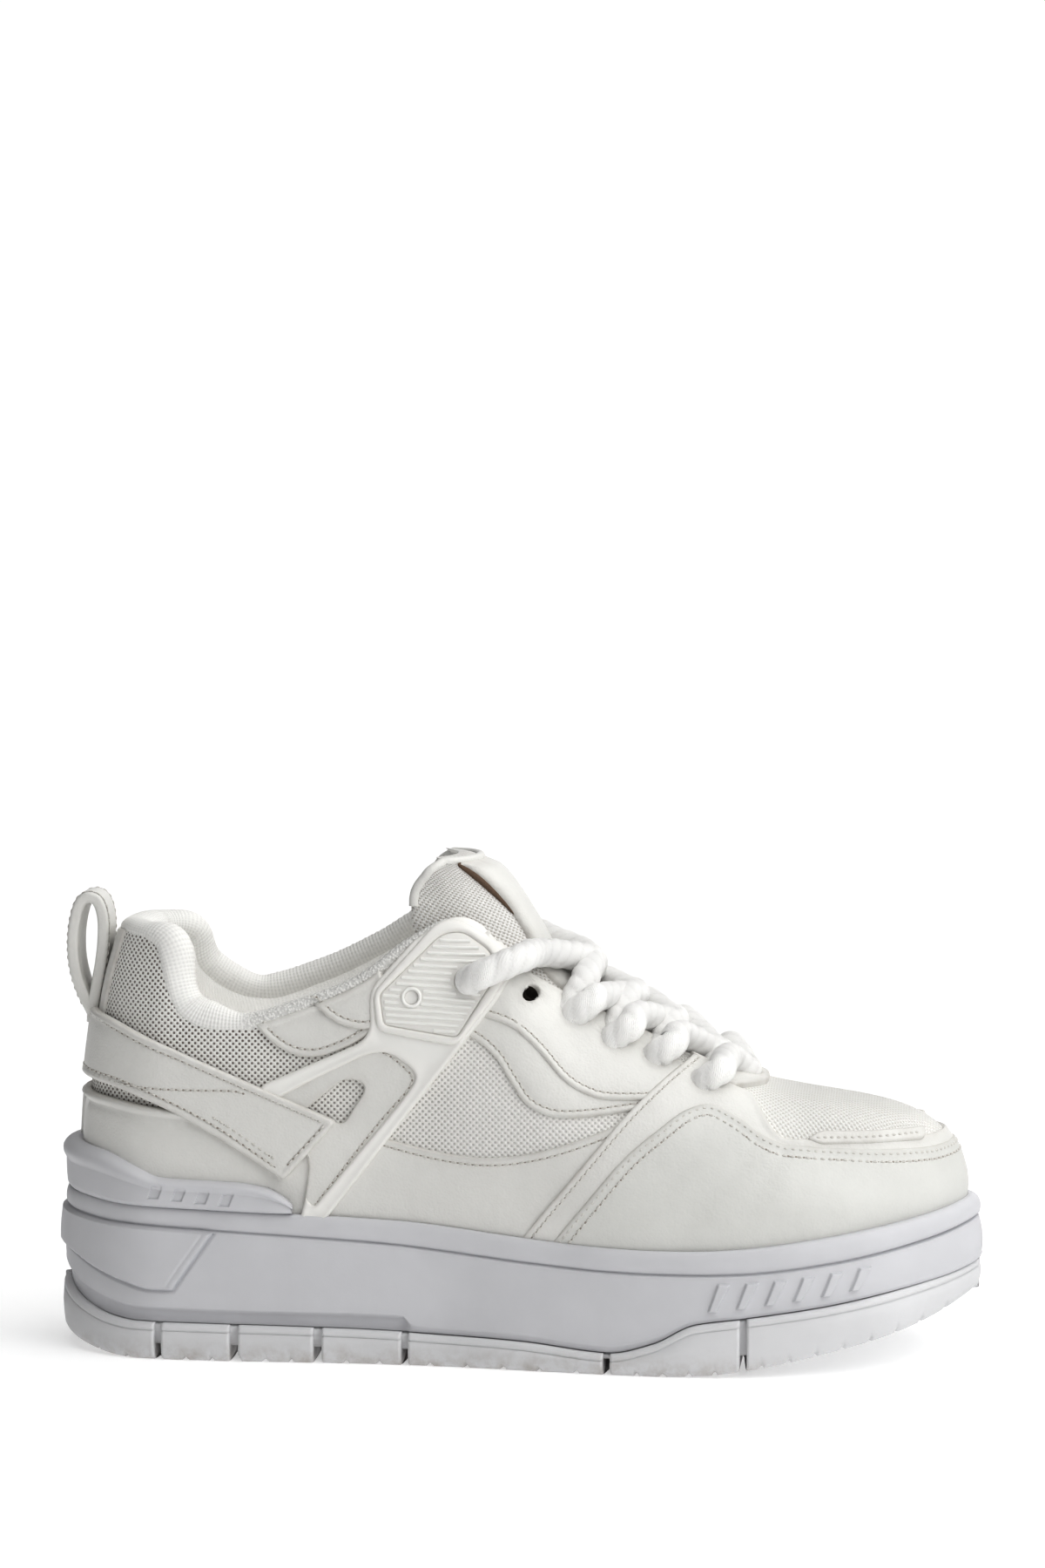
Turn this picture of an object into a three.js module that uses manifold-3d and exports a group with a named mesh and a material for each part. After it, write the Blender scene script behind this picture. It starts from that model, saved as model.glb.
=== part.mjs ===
// Women's platform sneaker for the right foot, EU 38, in millimetres.
// While it is built, x runs from the back of the heel to the toe, -y is the lateral (outer) side,
// +y the medial side and z the height above the floor. The finished group is moved so that its
// origin is the bottom centre of its own box.
//
// The upper is a ring of "meridians": each starts on the feather line, where the upper meets the
// footbed, and climbs as a cubic curve to the top line, which is the collar behind and the throat in
// front. A place on it is (t, v): t goes once round the shoe from the heel centre along the lateral
// side, v climbs from 0 at the feather line to 1 at the top line.
import * as THREE from "three";
import { mergeVertices } from "three/addons/utils/BufferGeometryUtils.js";
import Module from "manifold-3d";

const wasm = await Module();
wasm.setup();

// ---------------------------------------------------------------- driving dimensions
const LENGTH = 285; // heel to toe over the outsole
const GAP = 0.3; // clearance between neighbouring pieces
const OVERLAY_GAP = 0.4; // and under the pieces that lie on the upper
const WALL = 2.6; // upper: mesh, foam and lining together
const CUP_DEPTH = 8; // how far the upper sits down inside the midsole's rim
const CREST_RISE = 0.44; // height of the collar's rounded top, as a share of its thickness
const INSOLE = 4;
const EYELET_RADIUS = 2.6;
const LACE_RADIUS = 3.6;
const LACE_SIDES = 6;
const CAGE = 1.9; // thickness of the moulded lace cage
const PLATE = 3.6; // thickness of its ribbed plate
const COUNTER = 1.6; // height of the heel counter's face above the upper
const STRAP = 3.4; // and of the heel strap's
const LOOP_WIDTH = 17;
const AROUND = 66; // points round the shoe in every ring

// Plan outline of the outsole and of the feather line: x, then half-width on each side.
// Rows run from the heel centre to the toe tip, about 25 mm apart round the outline.
const OUTLINE = [
  { soleX: 0, soleLat: 0, soleMed: 0, footX: 8.6, footLat: 0, footMed: 0 },
  { soleX: 6, soleLat: 21, soleMed: 20.5, footX: 12, footLat: 16.8, footMed: 16.3 },
  { soleX: 25, soleLat: 35.5, soleMed: 34.5, footX: 27.4, footLat: 28.9, footMed: 28 },
  { soleX: 50, soleLat: 39, soleMed: 37.5, footX: 50.8, footLat: 32, footMed: 30.6 },
  { soleX: 75, soleLat: 39.5, soleMed: 37, footX: 75.2, footLat: 32.5, footMed: 30 },
  { soleX: 100, soleLat: 40, soleMed: 36, footX: 100, footLat: 33.1, footMed: 29.2 },
  { soleX: 125, soleLat: 42.5, soleMed: 38, footX: 124, footLat: 35.7, footMed: 31.3 },
  { soleX: 150, soleLat: 47, soleMed: 43, footX: 148.5, footLat: 40.2, footMed: 36.5 },
  { soleX: 174, soleLat: 51, soleMed: 48, footX: 172, footLat: 44.2, footMed: 41.4 },
  { soleX: 198, soleLat: 53, soleMed: 50.5, footX: 196, footLat: 46, footMed: 43.6 },
  { soleX: 222, soleLat: 51.5, soleMed: 49.5, footX: 218.5, footLat: 44.7, footMed: 42.8 },
  { soleX: 244, soleLat: 45.5, soleMed: 46, footX: 238.5, footLat: 39.3, footMed: 39.8 },
  { soleX: 263, soleLat: 34.5, soleMed: 38.5, footX: 256, footLat: 29, footMed: 33 },
  { soleX: 277.5, soleLat: 18.5, soleMed: 25.5, footX: 270, footLat: 15.2, footMed: 21.5 },
  { soleX: LENGTH, soleLat: -4, soleMed: 4, footX: 277.5, footLat: -4, footMed: 4 },
];

// Top line of the upper in the same rows, and the foam behind its collar.
const TOP_LINE = [
  { x: 19.5, lat: 0, med: 0, zLat: 128.5, zMed: 128.5, pad: 7 },
  { x: 24, lat: 15, med: 15, zLat: 129, zMed: 129, pad: 7 },
  { x: 35, lat: 24.5, med: 23.5, zLat: 125, zMed: 126.5, pad: 7 },
  { x: 42, lat: 29, med: 28, zLat: 105.3, zMed: 114.5, pad: 6.5 },
  { x: 58, lat: 31, med: 30, zLat: 101.2, zMed: 106.3, pad: 5.5 },
  { x: 78, lat: 31, med: 30, zLat: 107, zMed: 112, pad: 4 },
  { x: 96, lat: 30, med: 29.5, zLat: 114.8, zMed: 121, pad: 3 },
  { x: 111, lat: 27.5, med: 27, zLat: 126.2, zMed: 130.5, pad: 2 },
  { x: 126, lat: 23, med: 22.5, zLat: 133, zMed: 134, pad: 1 },
  { x: 142, lat: 19.5, med: 19.5, zLat: 118.5, zMed: 119, pad: 0 },
  { x: 163, lat: 17.2, med: 17, zLat: 107, zMed: 107.5, pad: 0 },
  { x: 184, lat: 14.5, med: 14.5, zLat: 96.8, zMed: 97, pad: 0 },
  { x: 201, lat: 11, med: 11.5, zLat: 88, zMed: 88, pad: 0 },
  { x: 210.5, lat: 6, med: 7, zLat: 84, zMed: 84, pad: 0 },
  { x: 213.5, lat: -0.5, med: 0.5, zLat: 83, zMed: 83, pad: 0 },
];

// The two handles of each meridian, in the same rows: the low one leaves the feather line outwards
// and up, the top one leaves the top line outwards and down.
const HANDLES = [
  { lowOut: 1.2, lowUp: 31, topOut: 8, topDown: 24 },
  { lowOut: 2, lowUp: 30, topOut: 7, topDown: 24 },
  { lowOut: 2.5, lowUp: 27, topOut: 5, topDown: 22 },
  { lowOut: 3, lowUp: 21, topOut: 3, topDown: 17 },
  { lowOut: 3, lowUp: 20, topOut: 2, topDown: 17 },
  { lowOut: 3, lowUp: 20, topOut: 2.5, topDown: 18 },
  { lowOut: 3, lowUp: 22, topOut: 4, topDown: 20 },
  { lowOut: 2.5, lowUp: 25, topOut: 6, topDown: 20 },
  { lowOut: 2, lowUp: 26, topOut: 8, topDown: 16 },
  { lowOut: 2, lowUp: 27, topOut: 8, topDown: 14.5 },
  { lowOut: 2.5, lowUp: 28, topOut: 10.5, topDown: 15 },
  { lowOut: 3, lowUp: 30, topOut: 15, topDown: 14 },
  { lowOut: 3, lowUp: 33, topOut: 23.5, topDown: 12.5 },
  { lowOut: 2.5, lowUp: 38, topOut: 37, topDown: 9.5 },
  { lowOut: 2, lowUp: 42, topOut: 42, topDown: 8.5 },
];

// Heights of the sole's lines along the shoe: underside, top of the tread, foot of the midsole's
// wall, groove under the rim and top of the rim. wallIn and rimIn are how far the wall and the
// rim's top stand inside the outsole's outline.
const SOLE_LEVELS = [
  { x: 0, bottom: 5, tread: 20.5, wall: 27, groove: 43.5, rim: 49, wallIn: 1, rimIn: 2.8 },
  { x: 8, bottom: 2.6, tread: 15.5, wall: 21, groove: 42.5, rim: 48.2, wallIn: 1.3, rimIn: 3 },
  { x: 18, bottom: 0.5, tread: 12.2, wall: 17.4, groove: 41.4, rim: 47.2, wallIn: 1.7, rimIn: 3.5 },
  { x: 26, bottom: 0, tread: 11.3, wall: 16, groove: 41, rim: 46.8, wallIn: 2, rimIn: 4 },
  { x: 60, bottom: 0, tread: 11, wall: 15.3, groove: 39.2, rim: 45.6, wallIn: 2.2, rimIn: 4.3 },
  { x: 109, bottom: 0, tread: 10, wall: 14.8, groove: 36.3, rim: 43.4, wallIn: 2.2, rimIn: 4.4 },
  { x: 112, bottom: 0, tread: 9.8, wall: 12, groove: 36, rim: 43.2, wallIn: 2.2, rimIn: 4.4 },
  { x: 145, bottom: 0, tread: 8.6, wall: 10.6, groove: 32.7, rim: 39.8, wallIn: 2.2, rimIn: 4.4 },
  { x: 172, bottom: 0, tread: 6.4, wall: 8.4, groove: 30.9, rim: 37.8, wallIn: 2.2, rimIn: 4.4 },
  { x: 185, bottom: 0, tread: 9.5, wall: 11.3, groove: 30.6, rim: 37.4, wallIn: 2.2, rimIn: 4.4 },
  { x: 198, bottom: 0.3, tread: 15.6, wall: 17, groove: 30.6, rim: 37.5, wallIn: 2.2, rimIn: 4.4 },
  { x: 212, bottom: 1.9, tread: 17.5, wall: 18.8, groove: 31, rim: 38.2, wallIn: 2.2, rimIn: 4.4 },
  { x: 240, bottom: 7.4, tread: 21.2, wall: 22.5, groove: 33.8, rim: 41.3, wallIn: 2.2, rimIn: 4.7 },
  { x: 265, bottom: 13.4, tread: 25.4, wall: 26.7, groove: 38, rim: 44.8, wallIn: 2, rimIn: 5 },
  { x: LENGTH, bottom: 20, tread: 28.6, wall: 29.8, groove: 42, rim: 48, wallIn: 2, rimIn: 5.2 },
];
// Where the tread is parted from side to side.
const TREAD_GAPS = [35.5, 58, 84, 110.5, 172, 212];
const TREAD_GAP_WIDTH = 2.8;
const TREAD_GAP_DEPTH = 4.5;

// The moulded heel clip: how far round it runs from the heel centre, in t, and its top edge along
// the shoe.
const CLIP_REACH = 0.144;
const CLIP_TOP = [
  { x: 0, z: 64 },
  { x: 14, z: 62.6 },
  { x: 26, z: 58.6 },
  { x: 35, z: 55.6 },
  { x: 60, z: 54 },
  { x: 68, z: 51.6 },
  { x: 77, z: 46.6 },
];

// The eyelets run in a straight row on each side. Only the first, nearest the ankle, is empty.
const EYELETS = 5;
const FIRST_EYELET = { x: 146.4, z: 111.1 };
const LAST_EYELET = { x: 196.2, z: 84.7 };

// Tongue: outer face at the centre line, half-width and thickness, from the vamp to the top.
// wrap is how far its sides bend back round the ankle rather than down over the instep.
const TONGUE = [
  { x: 208, z: 79, half: 13, thick: 3, wrap: 0 },
  { x: 184, z: 94.5, half: 17, thick: 4, wrap: 0 },
  { x: 165, z: 107.3, half: 19, thick: 5, wrap: 0.05 },
  { x: 154, z: 116.8, half: 19, thick: 6, wrap: 0.2 },
  { x: 147, z: 130, half: 19, thick: 7.5, wrap: 0.5 },
  { x: 140, z: 140.5, half: 21, thick: 8.5, wrap: 0.8 },
  { x: 134, z: 147.3, half: 24.5, thick: 8.5, wrap: 1 },
  { x: 127.5, z: 150, half: 25.5, thick: 5, wrap: 1 },
];
const TONGUE_ARCH = 22; // radius of the instep across the tongue

// Side outlines, drawn on the lateral elevation as [x, z, corner radius].
const CAGE_OUTLINE = [
  [99, 112.5, 4],
  [119, 134.6, 7],
  [127.5, 133, 5],
  [143, 120.6, 4],
  [137.6, 110, 3],
  [82.4, 47.4, 1.5],
  [77.6, 47.4, 1.5],
  [80, 62, 6],
  [66, 78, 4],
  [66, 83.6, 2],
  [99.8, 98.4, 6],
];
const CAGE_WINDOW = [
  [99.3, 84, 4],
  [92, 86.6, 4],
  [80, 76.2, 1.5],
  [91.2, 72.6, 2],
];
const PLATE_OUTLINE = [
  [101.2, 111.2, 2],
  [120, 129.5, 4],
  [127, 130, 4],
  [139.5, 119, 3],
  [126.4, 97.4, 2],
  [102.6, 101.2, 2],
];
const PLATE_HOLES = [
  { x: 111.9, z: 110.3, radius: 1.9 },
  { x: 128.1, z: 115.7, radius: 3.2 },
];
const STRAP_OUTLINE = [
  [-5, 103.5, 2],
  [17, 103.5, 8],
  [89.6, 73.4, 1.5],
  [73.4, 55.4, 1.5],
  [45, 73.2, 25],
  [22, 82.6, 15],
  [-5, 84.6, 2],
];
const COUNTER_OUTLINE = [
  [-5, 80.5, 2],
  [11, 79.4, 10],
  [40, 75.4, 14],
  [73, 52.5, 8],
  [76, 40, 2],
  [-5, 40, 1],
];
const LOOP_BASE = 104; // where the pull loop leaves the heel strap

// ---------------------------------------------------------------- curves and tables
// One value a row, closed round the shoe: lateral rows to the toe, medial rows back to the heel.
function roundTheShoe(rows, lateral, medial = lateral) {
  return [...rows.map(lateral), ...rows.slice(1, -1).reverse().map(medial)];
}

// Closed Catmull-Rom curve through such values, at t from 0 to 1.
function around(values, t) {
  const place = t * values.length;
  const i = Math.floor(place);
  const f = place - i;
  const [a, b, c, d] = [-1, 0, 1, 2].map((k) => values.at((i + k) % values.length));
  return b + 0.5 * f * (c - a + f * (2 * a - 5 * b + 4 * c - d + f * (3 * (b - c) + d - a)));
}

// Monotone cubic curve through one column of a table, at x; it holds its end values outside.
function along(rows, column, x) {
  const last = rows.length - 1;
  if (x <= rows[0].x) return rows[0][column];
  if (x >= rows[last].x) return rows[last][column];
  const slope = (k) => (rows[k + 1][column] - rows[k][column]) / (rows[k + 1].x - rows[k].x);
  const tangent = (k) => {
    if (k === 0) return slope(0);
    if (k === last) return slope(last - 1);
    const [before, after] = [slope(k - 1), slope(k)];
    return before * after <= 0 ? 0 : (2 * before * after) / (before + after);
  };
  const k = rows.findLastIndex((row) => row.x <= x);
  const width = rows[k + 1].x - rows[k].x;
  const f = (x - rows[k].x) / width;
  return (
    rows[k][column] * (1 + 2 * f) * (1 - f) ** 2 +
    rows[k + 1][column] * f * f * (3 - 2 * f) +
    tangent(k) * width * f * (1 - f) ** 2 -
    tangent(k + 1) * width * f * f * (1 - f)
  );
}

function smoothstep(low, high, x) {
  return THREE.MathUtils.smoothstep(x, low, high);
}

const LOOPS = {
  soleX: roundTheShoe(OUTLINE, (r) => r.soleX),
  soleY: roundTheShoe(OUTLINE, (r) => -r.soleLat, (r) => r.soleMed),
  footX: roundTheShoe(OUTLINE, (r) => r.footX),
  footY: roundTheShoe(OUTLINE, (r) => -r.footLat, (r) => r.footMed),
  topX: roundTheShoe(TOP_LINE, (r) => r.x),
  topY: roundTheShoe(TOP_LINE, (r) => -r.lat, (r) => r.med),
  topZ: roundTheShoe(TOP_LINE, (r) => r.zLat, (r) => r.zMed),
  pad: roundTheShoe(TOP_LINE, (r) => r.pad),
};
for (const column of ["lowOut", "lowUp", "topOut", "topDown"]) {
  LOOPS[column] = roundTheShoe(HANDLES, (r) => r[column]);
}

// Point and outward level normal of the sole's or the foot's plan outline.
function planLoop(name, t) {
  const step = 0.002;
  const at = (s) => new THREE.Vector2(around(LOOPS[`${name}X`], s), around(LOOPS[`${name}Y`], s));
  const run = at((t + step) % 1).sub(at((t - step + 1) % 1));
  return { point: at(t), normal: new THREE.Vector2(run.y, -run.x).normalize() };
}

// ---------------------------------------------------------------- the upper's surface
const bedHeight = (x) => along(SOLE_LEVELS, "rim", x) - CUP_DEPTH;

function meridian(t) {
  const { point, normal } = planLoop("foot", t);
  const n = new THREE.Vector3(normal.x, normal.y, 0);
  const foot = new THREE.Vector3(point.x, point.y, bedHeight(point.x) + GAP);
  const top = new THREE.Vector3(...["topX", "topY", "topZ"].map((c) => around(LOOPS[c], t)));
  const sideways = new THREE.Vector3(-n.y, n.x, 0);
  const third = sideways.clone().multiplyScalar(top.clone().sub(foot).dot(sideways) / 3);
  const low = foot.clone().addScaledVector(n, around(LOOPS.lowOut, t)).add(third);
  low.z += around(LOOPS.lowUp, t);
  const high = top.clone().addScaledVector(n, around(LOOPS.topOut, t)).sub(third);
  high.z -= around(LOOPS.topDown, t);
  return new THREE.CubicBezierCurve3(foot, low, high, top);
}

// Point of the outer face at (t, v), moved out along the face's normal.
function upperPoint(t, v, out = 0) {
  const line = meridian(t);
  const point = line.getPoint(v);
  if (out === 0) return point;
  const step = 0.004;
  const forward = meridian((t + step) % 1).getPoint(v);
  const climb = line.getPoint(Math.min(v + step, 1)).sub(line.getPoint(Math.max(v - step, 0)));
  const run = forward.sub(meridian((t - step + 1) % 1).getPoint(v));
  return point.addScaledVector(run.cross(climb).normalize(), out);
}

// Point of the outer face at height z on the meridian t, moved out.
function upperAtHeight(t, z, out) {
  const line = meridian(t);
  let [low, high] = [0, 0.8];
  for (let i = 0; i < 18; i++) {
    const middle = (low + high) / 2;
    if (line.getPoint(middle).z < z) low = middle;
    else high = middle;
  }
  return upperPoint(t, low, out);
}

// The place (t, v) of a point of the side elevation, on the lateral or the medial side.
function placeOnSide(x, z, side) {
  let best = { t: 0.25, v: 0.5 };
  let reach = { t: 0.24, v: 0.5 };
  for (let pass = 0; pass < 12; pass++) {
    const about = best;
    let least = Infinity;
    for (let i = -6; i <= 6; i++) {
      for (let j = -6; j <= 6; j++) {
        const t = THREE.MathUtils.clamp(about.t + (reach.t * i) / 6, 0.001, 0.499);
        const v = THREE.MathUtils.clamp(about.v + (reach.v * j) / 6, 0, 1);
        const p = upperPoint(side === "lateral" ? t : 1 - t, v);
        const far = (p.x - x) ** 2 + (p.z - z) ** 2;
        if (far < least) {
          least = far;
          best = { t, v };
        }
      }
    }
    reach = { t: reach.t / 2, v: reach.v / 2 };
  }
  return { t: side === "lateral" ? best.t : 1 - best.t, v: best.v };
}

function wallThickness(t, v) {
  return WALL + Math.max(around(LOOPS.pad, t), 0) * smoothstep(0.5, 0.92, v);
}

// ---------------------------------------------------------------- solids from rings of points
function solidOf(points, faces) {
  const made = new wasm.Manifold(
    new wasm.Mesh({
      numProp: 3,
      vertProperties: Float32Array.from(points.flatMap((p) => [p.x, p.y, p.z])),
      triVerts: Uint32Array.from(faces.flat()),
    }),
  );
  if (made.volume() > 0) return made;
  return solidOf(points, faces.map(([a, b, c]) => [a, c, b]));
}

function solidOfGeometry(geometry) {
  const bare = geometry.index ? geometry.toNonIndexed() : geometry;
  bare.deleteAttribute("normal");
  bare.deleteAttribute("uv");
  const merged = mergeVertices(bare, 1e-3);
  const flat = merged.attributes.position.array;
  const points = [];
  for (let i = 0; i < flat.length; i += 3) points.push(new THREE.Vector3(...flat.slice(i, i + 3)));
  const faces = [];
  for (let i = 0; i < merged.index.count; i += 3) faces.push([...merged.index.array.slice(i, i + 3)]);
  return solidOf(points, faces);
}

function geometryOf(solid) {
  const mesh = solid.getMesh();
  const geometry = new THREE.BufferGeometry();
  geometry.setAttribute("position", new THREE.BufferAttribute(mesh.vertProperties, 3));
  geometry.setIndex(new THREE.BufferAttribute(mesh.triVerts, 1));
  geometry.computeVertexNormals();
  return geometry;
}

// Quads between successive rings; closed joins the last ring to the first.
function ringFaces(rings, perRing, closed) {
  const faces = [];
  for (let r = 0; r < (closed ? rings : rings - 1); r++) {
    for (let i = 0; i < perRing; i++) {
      const j = (i + 1) % perRing;
      const [a, b] = [r * perRing, ((r + 1) % rings) * perRing];
      faces.push([a + i, a + j, b + j], [a + i, b + j, b + i]);
    }
  }
  return faces;
}

// A hoop: rings that close on themselves both ways, such as a wall round the shoe.
function hoop(rings) {
  return solidOf(rings.flat(), ringFaces(rings.length, rings[0].length, true));
}

// A tray: rings stacked from one cap to the other. Each cap is laid in rungs from side to side.
function tray(rings) {
  const n = AROUND;
  const faces = ringFaces(rings.length, n, false);
  const cap = (start, flip) => {
    for (let i = 0; i < n / 2; i++) {
      const quad = [i, i + 1, n - i - 1, (n - i) % n].map((k) => start + k);
      const parts = [[quad[0], quad[1], quad[2]], [quad[0], quad[2], quad[3]]];
      for (const p of parts) {
        if (new Set(p).size === 3) faces.push(flip ? [p[0], p[2], p[1]] : p);
      }
    }
  };
  cap(0, true);
  cap((rings.length - 1) * n, false);
  return solidOf(rings.flat(), faces);
}

// A bar: like rings along a line, with a fan on each end.
function bar(rings) {
  const n = rings[0].length;
  const faces = ringFaces(rings.length, n, false);
  const last = (rings.length - 1) * n;
  for (let i = 1; i < n - 1; i++) {
    faces.push([0, i + 1, i], [last, last + i, last + i + 1]);
  }
  return solidOf(rings.flat(), faces);
}

// Heights v of the rings on the upper's outer face and on its lining.
const FACE_ROWS = [0, 0.1, 0.2, 0.3, 0.4, 0.5, 0.6, 0.7, 0.8, 0.9, 1];
const LINING_ROWS = [1, 0.92, 0.84, 0.75, 0.65, 0.52, 0.36, 0.18, 0];

const stations = Array.from({ length: AROUND }, (_, i) => i / AROUND);

// A ring of the sole: its outline moved in by inset, a number or a level, at the height of a level.
function soleRing(inset, heightAt) {
  return stations.map((t) => {
    const { point, normal } = planLoop("sole", t);
    const deep = typeof inset === "function" ? inset(point.x) : inset;
    const z = heightAt(point.x);
    return new THREE.Vector3(point.x - normal.x * deep, point.y - normal.y * deep, z);
  });
}

const level = (column, more = 0) => (x) => along(SOLE_LEVELS, column, x) + more;
const between = (low, high, share) => (x) =>
  THREE.MathUtils.lerp(along(SOLE_LEVELS, low, x), along(SOLE_LEVELS, high, x), share);

// ---------------------------------------------------------------- outlines cut through the shoe
// A closed outline from corners [x, z, radius], each corner rounded.
function roundedShape(corners) {
  const shape = new THREE.Shape();
  const points = corners.map(([x, z]) => new THREE.Vector2(x, z));
  corners.forEach(([, , radius], i) => {
    const here = points[i];
    const cut = (other) => {
      const away = other.clone().sub(here);
      return here.clone().addScaledVector(away, Math.min(radius / away.length(), 0.45));
    };
    const before = cut(points.at(i - 1));
    const after = cut(points[(i + 1) % points.length]);
    if (i === 0) shape.moveTo(before.x, before.y);
    else shape.lineTo(before.x, before.y);
    shape.quadraticCurveTo(here.x, here.y, after.x, after.y);
  });
  return shape;
}

// A side outline run straight across the shoe, from y = low to y = high.
function across(shape, low, high) {
  const geometry = new THREE.ExtrudeGeometry(shape, {
    depth: high - low,
    bevelEnabled: false,
    curveSegments: 2,
  });
  return solidOfGeometry(geometry.rotateX(Math.PI / 2).translate(0, high, 0));
}

function circle(x, z, radius) {
  return new THREE.Shape().absarc(x, z, radius, 0, 2 * Math.PI);
}

const SIDES = {
  lateral: (shape) => across(shape, -90, -6),
  medial: (shape) => across(shape, 6, 90),
  both: (shape) => across(shape, -90, 90),
};

// The layer of space between two heights above the upper's outer face.
function layer(low, high) {
  const heights = [...FACE_ROWS.slice(1, -1), 0.985];
  const ring = (v, out) => stations.map((t) => upperPoint(t, v, out));
  return hoop([
    ...heights.map((v) => ring(v, high)),
    ...heights.toReversed().map((v) => ring(v, low)),
  ]);
}

// ---------------------------------------------------------------- the pieces
function outsole() {
  const rings = [
    soleRing(2.4, level("bottom")),
    soleRing(0.7, level("bottom", 2)),
    soleRing(0, between("bottom", "tread", 0.55)),
    soleRing(0.4, level("tread", -1.2)),
    soleRing(1.6, level("tread")),
  ];
  let solid = tray(rings);
  for (const x of TREAD_GAPS) {
    const side = (y) =>
      new THREE.BoxGeometry(TREAD_GAP_WIDTH, 12, 60).translate(x, y, 30);
    const underside = along(SOLE_LEVELS, "bottom", x);
    const floor = new THREE.BoxGeometry(TREAD_GAP_WIDTH, 130, 2 * TREAD_GAP_DEPTH);
    solid = solid.subtract(solidOfGeometry(floor.translate(x, 0, underside)));
    for (const [name, sign] of [["soleLat", -1], ["soleMed", 1]]) {
      const half = halfWidthAt(name, x);
      solid = solid.subtract(solidOfGeometry(side(sign * (half + 2))));
    }
  }
  return solid;
}

// Half-width of the outsole at x.
function halfWidthAt(column, x) {
  const rows = OUTLINE.map((row) => ({ x: row.soleX, half: row[column] }));
  return along(rows, "half", x);
}

function midsole() {
  const onUpper = (heightAt) =>
    stations.map((t) => {
      const { point } = planLoop("foot", t);
      return upperAtHeight(t, heightAt(point.x), GAP);
    });
  const bed = stations.map((t) => {
    const { point, normal } = planLoop("foot", t);
    return new THREE.Vector3(
      point.x + normal.x * GAP,
      point.y + normal.y * GAP,
      bedHeight(point.x),
    );
  });
  return tray([
    soleRing(5, level("tread", GAP)),
    soleRing(level("wallIn", 1.8), level("wall", -0.6)),
    soleRing(level("wallIn", 0.2), level("wall", 0.6)),
    soleRing(between("wallIn", "rimIn", 0.1), between("wall", "groove", 0.5)),
    soleRing(between("wallIn", "rimIn", 0.3), level("groove", -0.8)),
    soleRing(between("wallIn", "rimIn", 0.8), level("groove")),
    soleRing(between("wallIn", "rimIn", 0.4), level("groove", 0.8)),
    soleRing(between("wallIn", "rimIn", 0.6), between("groove", "rim", 0.7)),
    soleRing(level("rimIn"), level("rim")),
    onUpper(level("rim", -0.4)),
    bed,
  ]);
}

// The moulded clip that hugs the heel above the rim and runs out to a tip on each side.
function heelClip() {
  return bar(
    clipSections(26, ({ outer, inner }) => [
      outer(-3.2, 0),
      outer(-1.7, 0.12),
      outer(-1.5, 0.55),
      outer(-2.6, 0.85),
      outer(-4.6, 1),
      inner(0.97),
      inner(0.5),
      inner(0),
    ]),
  );
}

// The space that the clip fills right through the upper, to trim what stands above it.
function clipSpace() {
  return bar(
    clipSections(26, ({ outer }) => [
      outer(3, 0, -9),
      outer(3, 1, 2 * GAP),
      outer(-16, 1, 2 * GAP),
      outer(-16, 0, -9),
    ]),
  );
}

// Sections across the clip: outer gives a point at an offset from the sole's outline and a share of
// the clip's height there, inner a point that just clears the upper.
function clipSections(steps, section) {
  const sections = [];
  for (let i = 0; i <= steps; i++) {
    const t = (1 + CLIP_REACH * ((2 * i) / steps - 1)) % 1;
    const { point, normal } = planLoop("sole", t);
    const foot = along(SOLE_LEVELS, "rim", point.x) + GAP;
    const head = Math.max(along(CLIP_TOP, "z", point.x), foot + 1.2);
    const height = (share) => foot + (head - foot) * share;
    const outer = (offset, share, more = 0) =>
      new THREE.Vector3(
        point.x + normal.x * offset,
        point.y + normal.y * offset,
        height(share) + more,
      );
    const inner = (share) => upperAtHeight(t, height(share), 2 * GAP);
    sections.push(section({ outer, inner }));
  }
  return sections;
}

function upper() {
  const face = FACE_ROWS.map((v) => stations.map((t) => upperPoint(t, v)));
  const lining = LINING_ROWS.map((v) => stations.map((t) => upperPoint(t, v, -wallThickness(t, v))));
  const crest = [0.25, 0.5, 0.75].map((share) =>
    stations.map((t, i) => {
      const [edge, inside] = [face.at(-1)[i], lining[0][i]];
      const climb = upperPoint(t, 1).sub(upperPoint(t, 0.97)).normalize();
      const turn = Math.PI * share;
      return edge
        .clone()
        .lerp(inside, (1 - Math.cos(turn)) / 2)
        .addScaledVector(climb, CREST_RISE * wallThickness(t, 1) * Math.sin(turn));
    }),
  );
  let solid = hoop([...face, ...crest, ...lining]);
  for (const side of ["lateral", "medial"]) {
    for (let k = 0; k < EYELETS; k++) {
      const { point, out } = eyelet(side, k);
      const punch = new THREE.CylinderGeometry(EYELET_RADIUS, EYELET_RADIUS, 16, 10)
        .applyQuaternion(new THREE.Quaternion().setFromUnitVectors(new THREE.Vector3(0, 1, 0), out))
        .translate(point.x, point.y, point.z);
      solid = solid.subtract(solidOfGeometry(punch));
    }
  }
  return solid;
}

// Centre and outward direction of eyelet k on a side, and the throat's edge beside it.
function eyelet(side, k) {
  const share = k / (EYELETS - 1);
  const x = THREE.MathUtils.lerp(FIRST_EYELET.x, LAST_EYELET.x, share);
  const z = THREE.MathUtils.lerp(FIRST_EYELET.z, LAST_EYELET.z, share);
  const { t, v } = placeOnSide(x, z, side);
  const point = upperPoint(t, v);
  return { point, out: upperPoint(t, v, 1).sub(point), edge: throatEdge(x + 1) };
}

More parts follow.
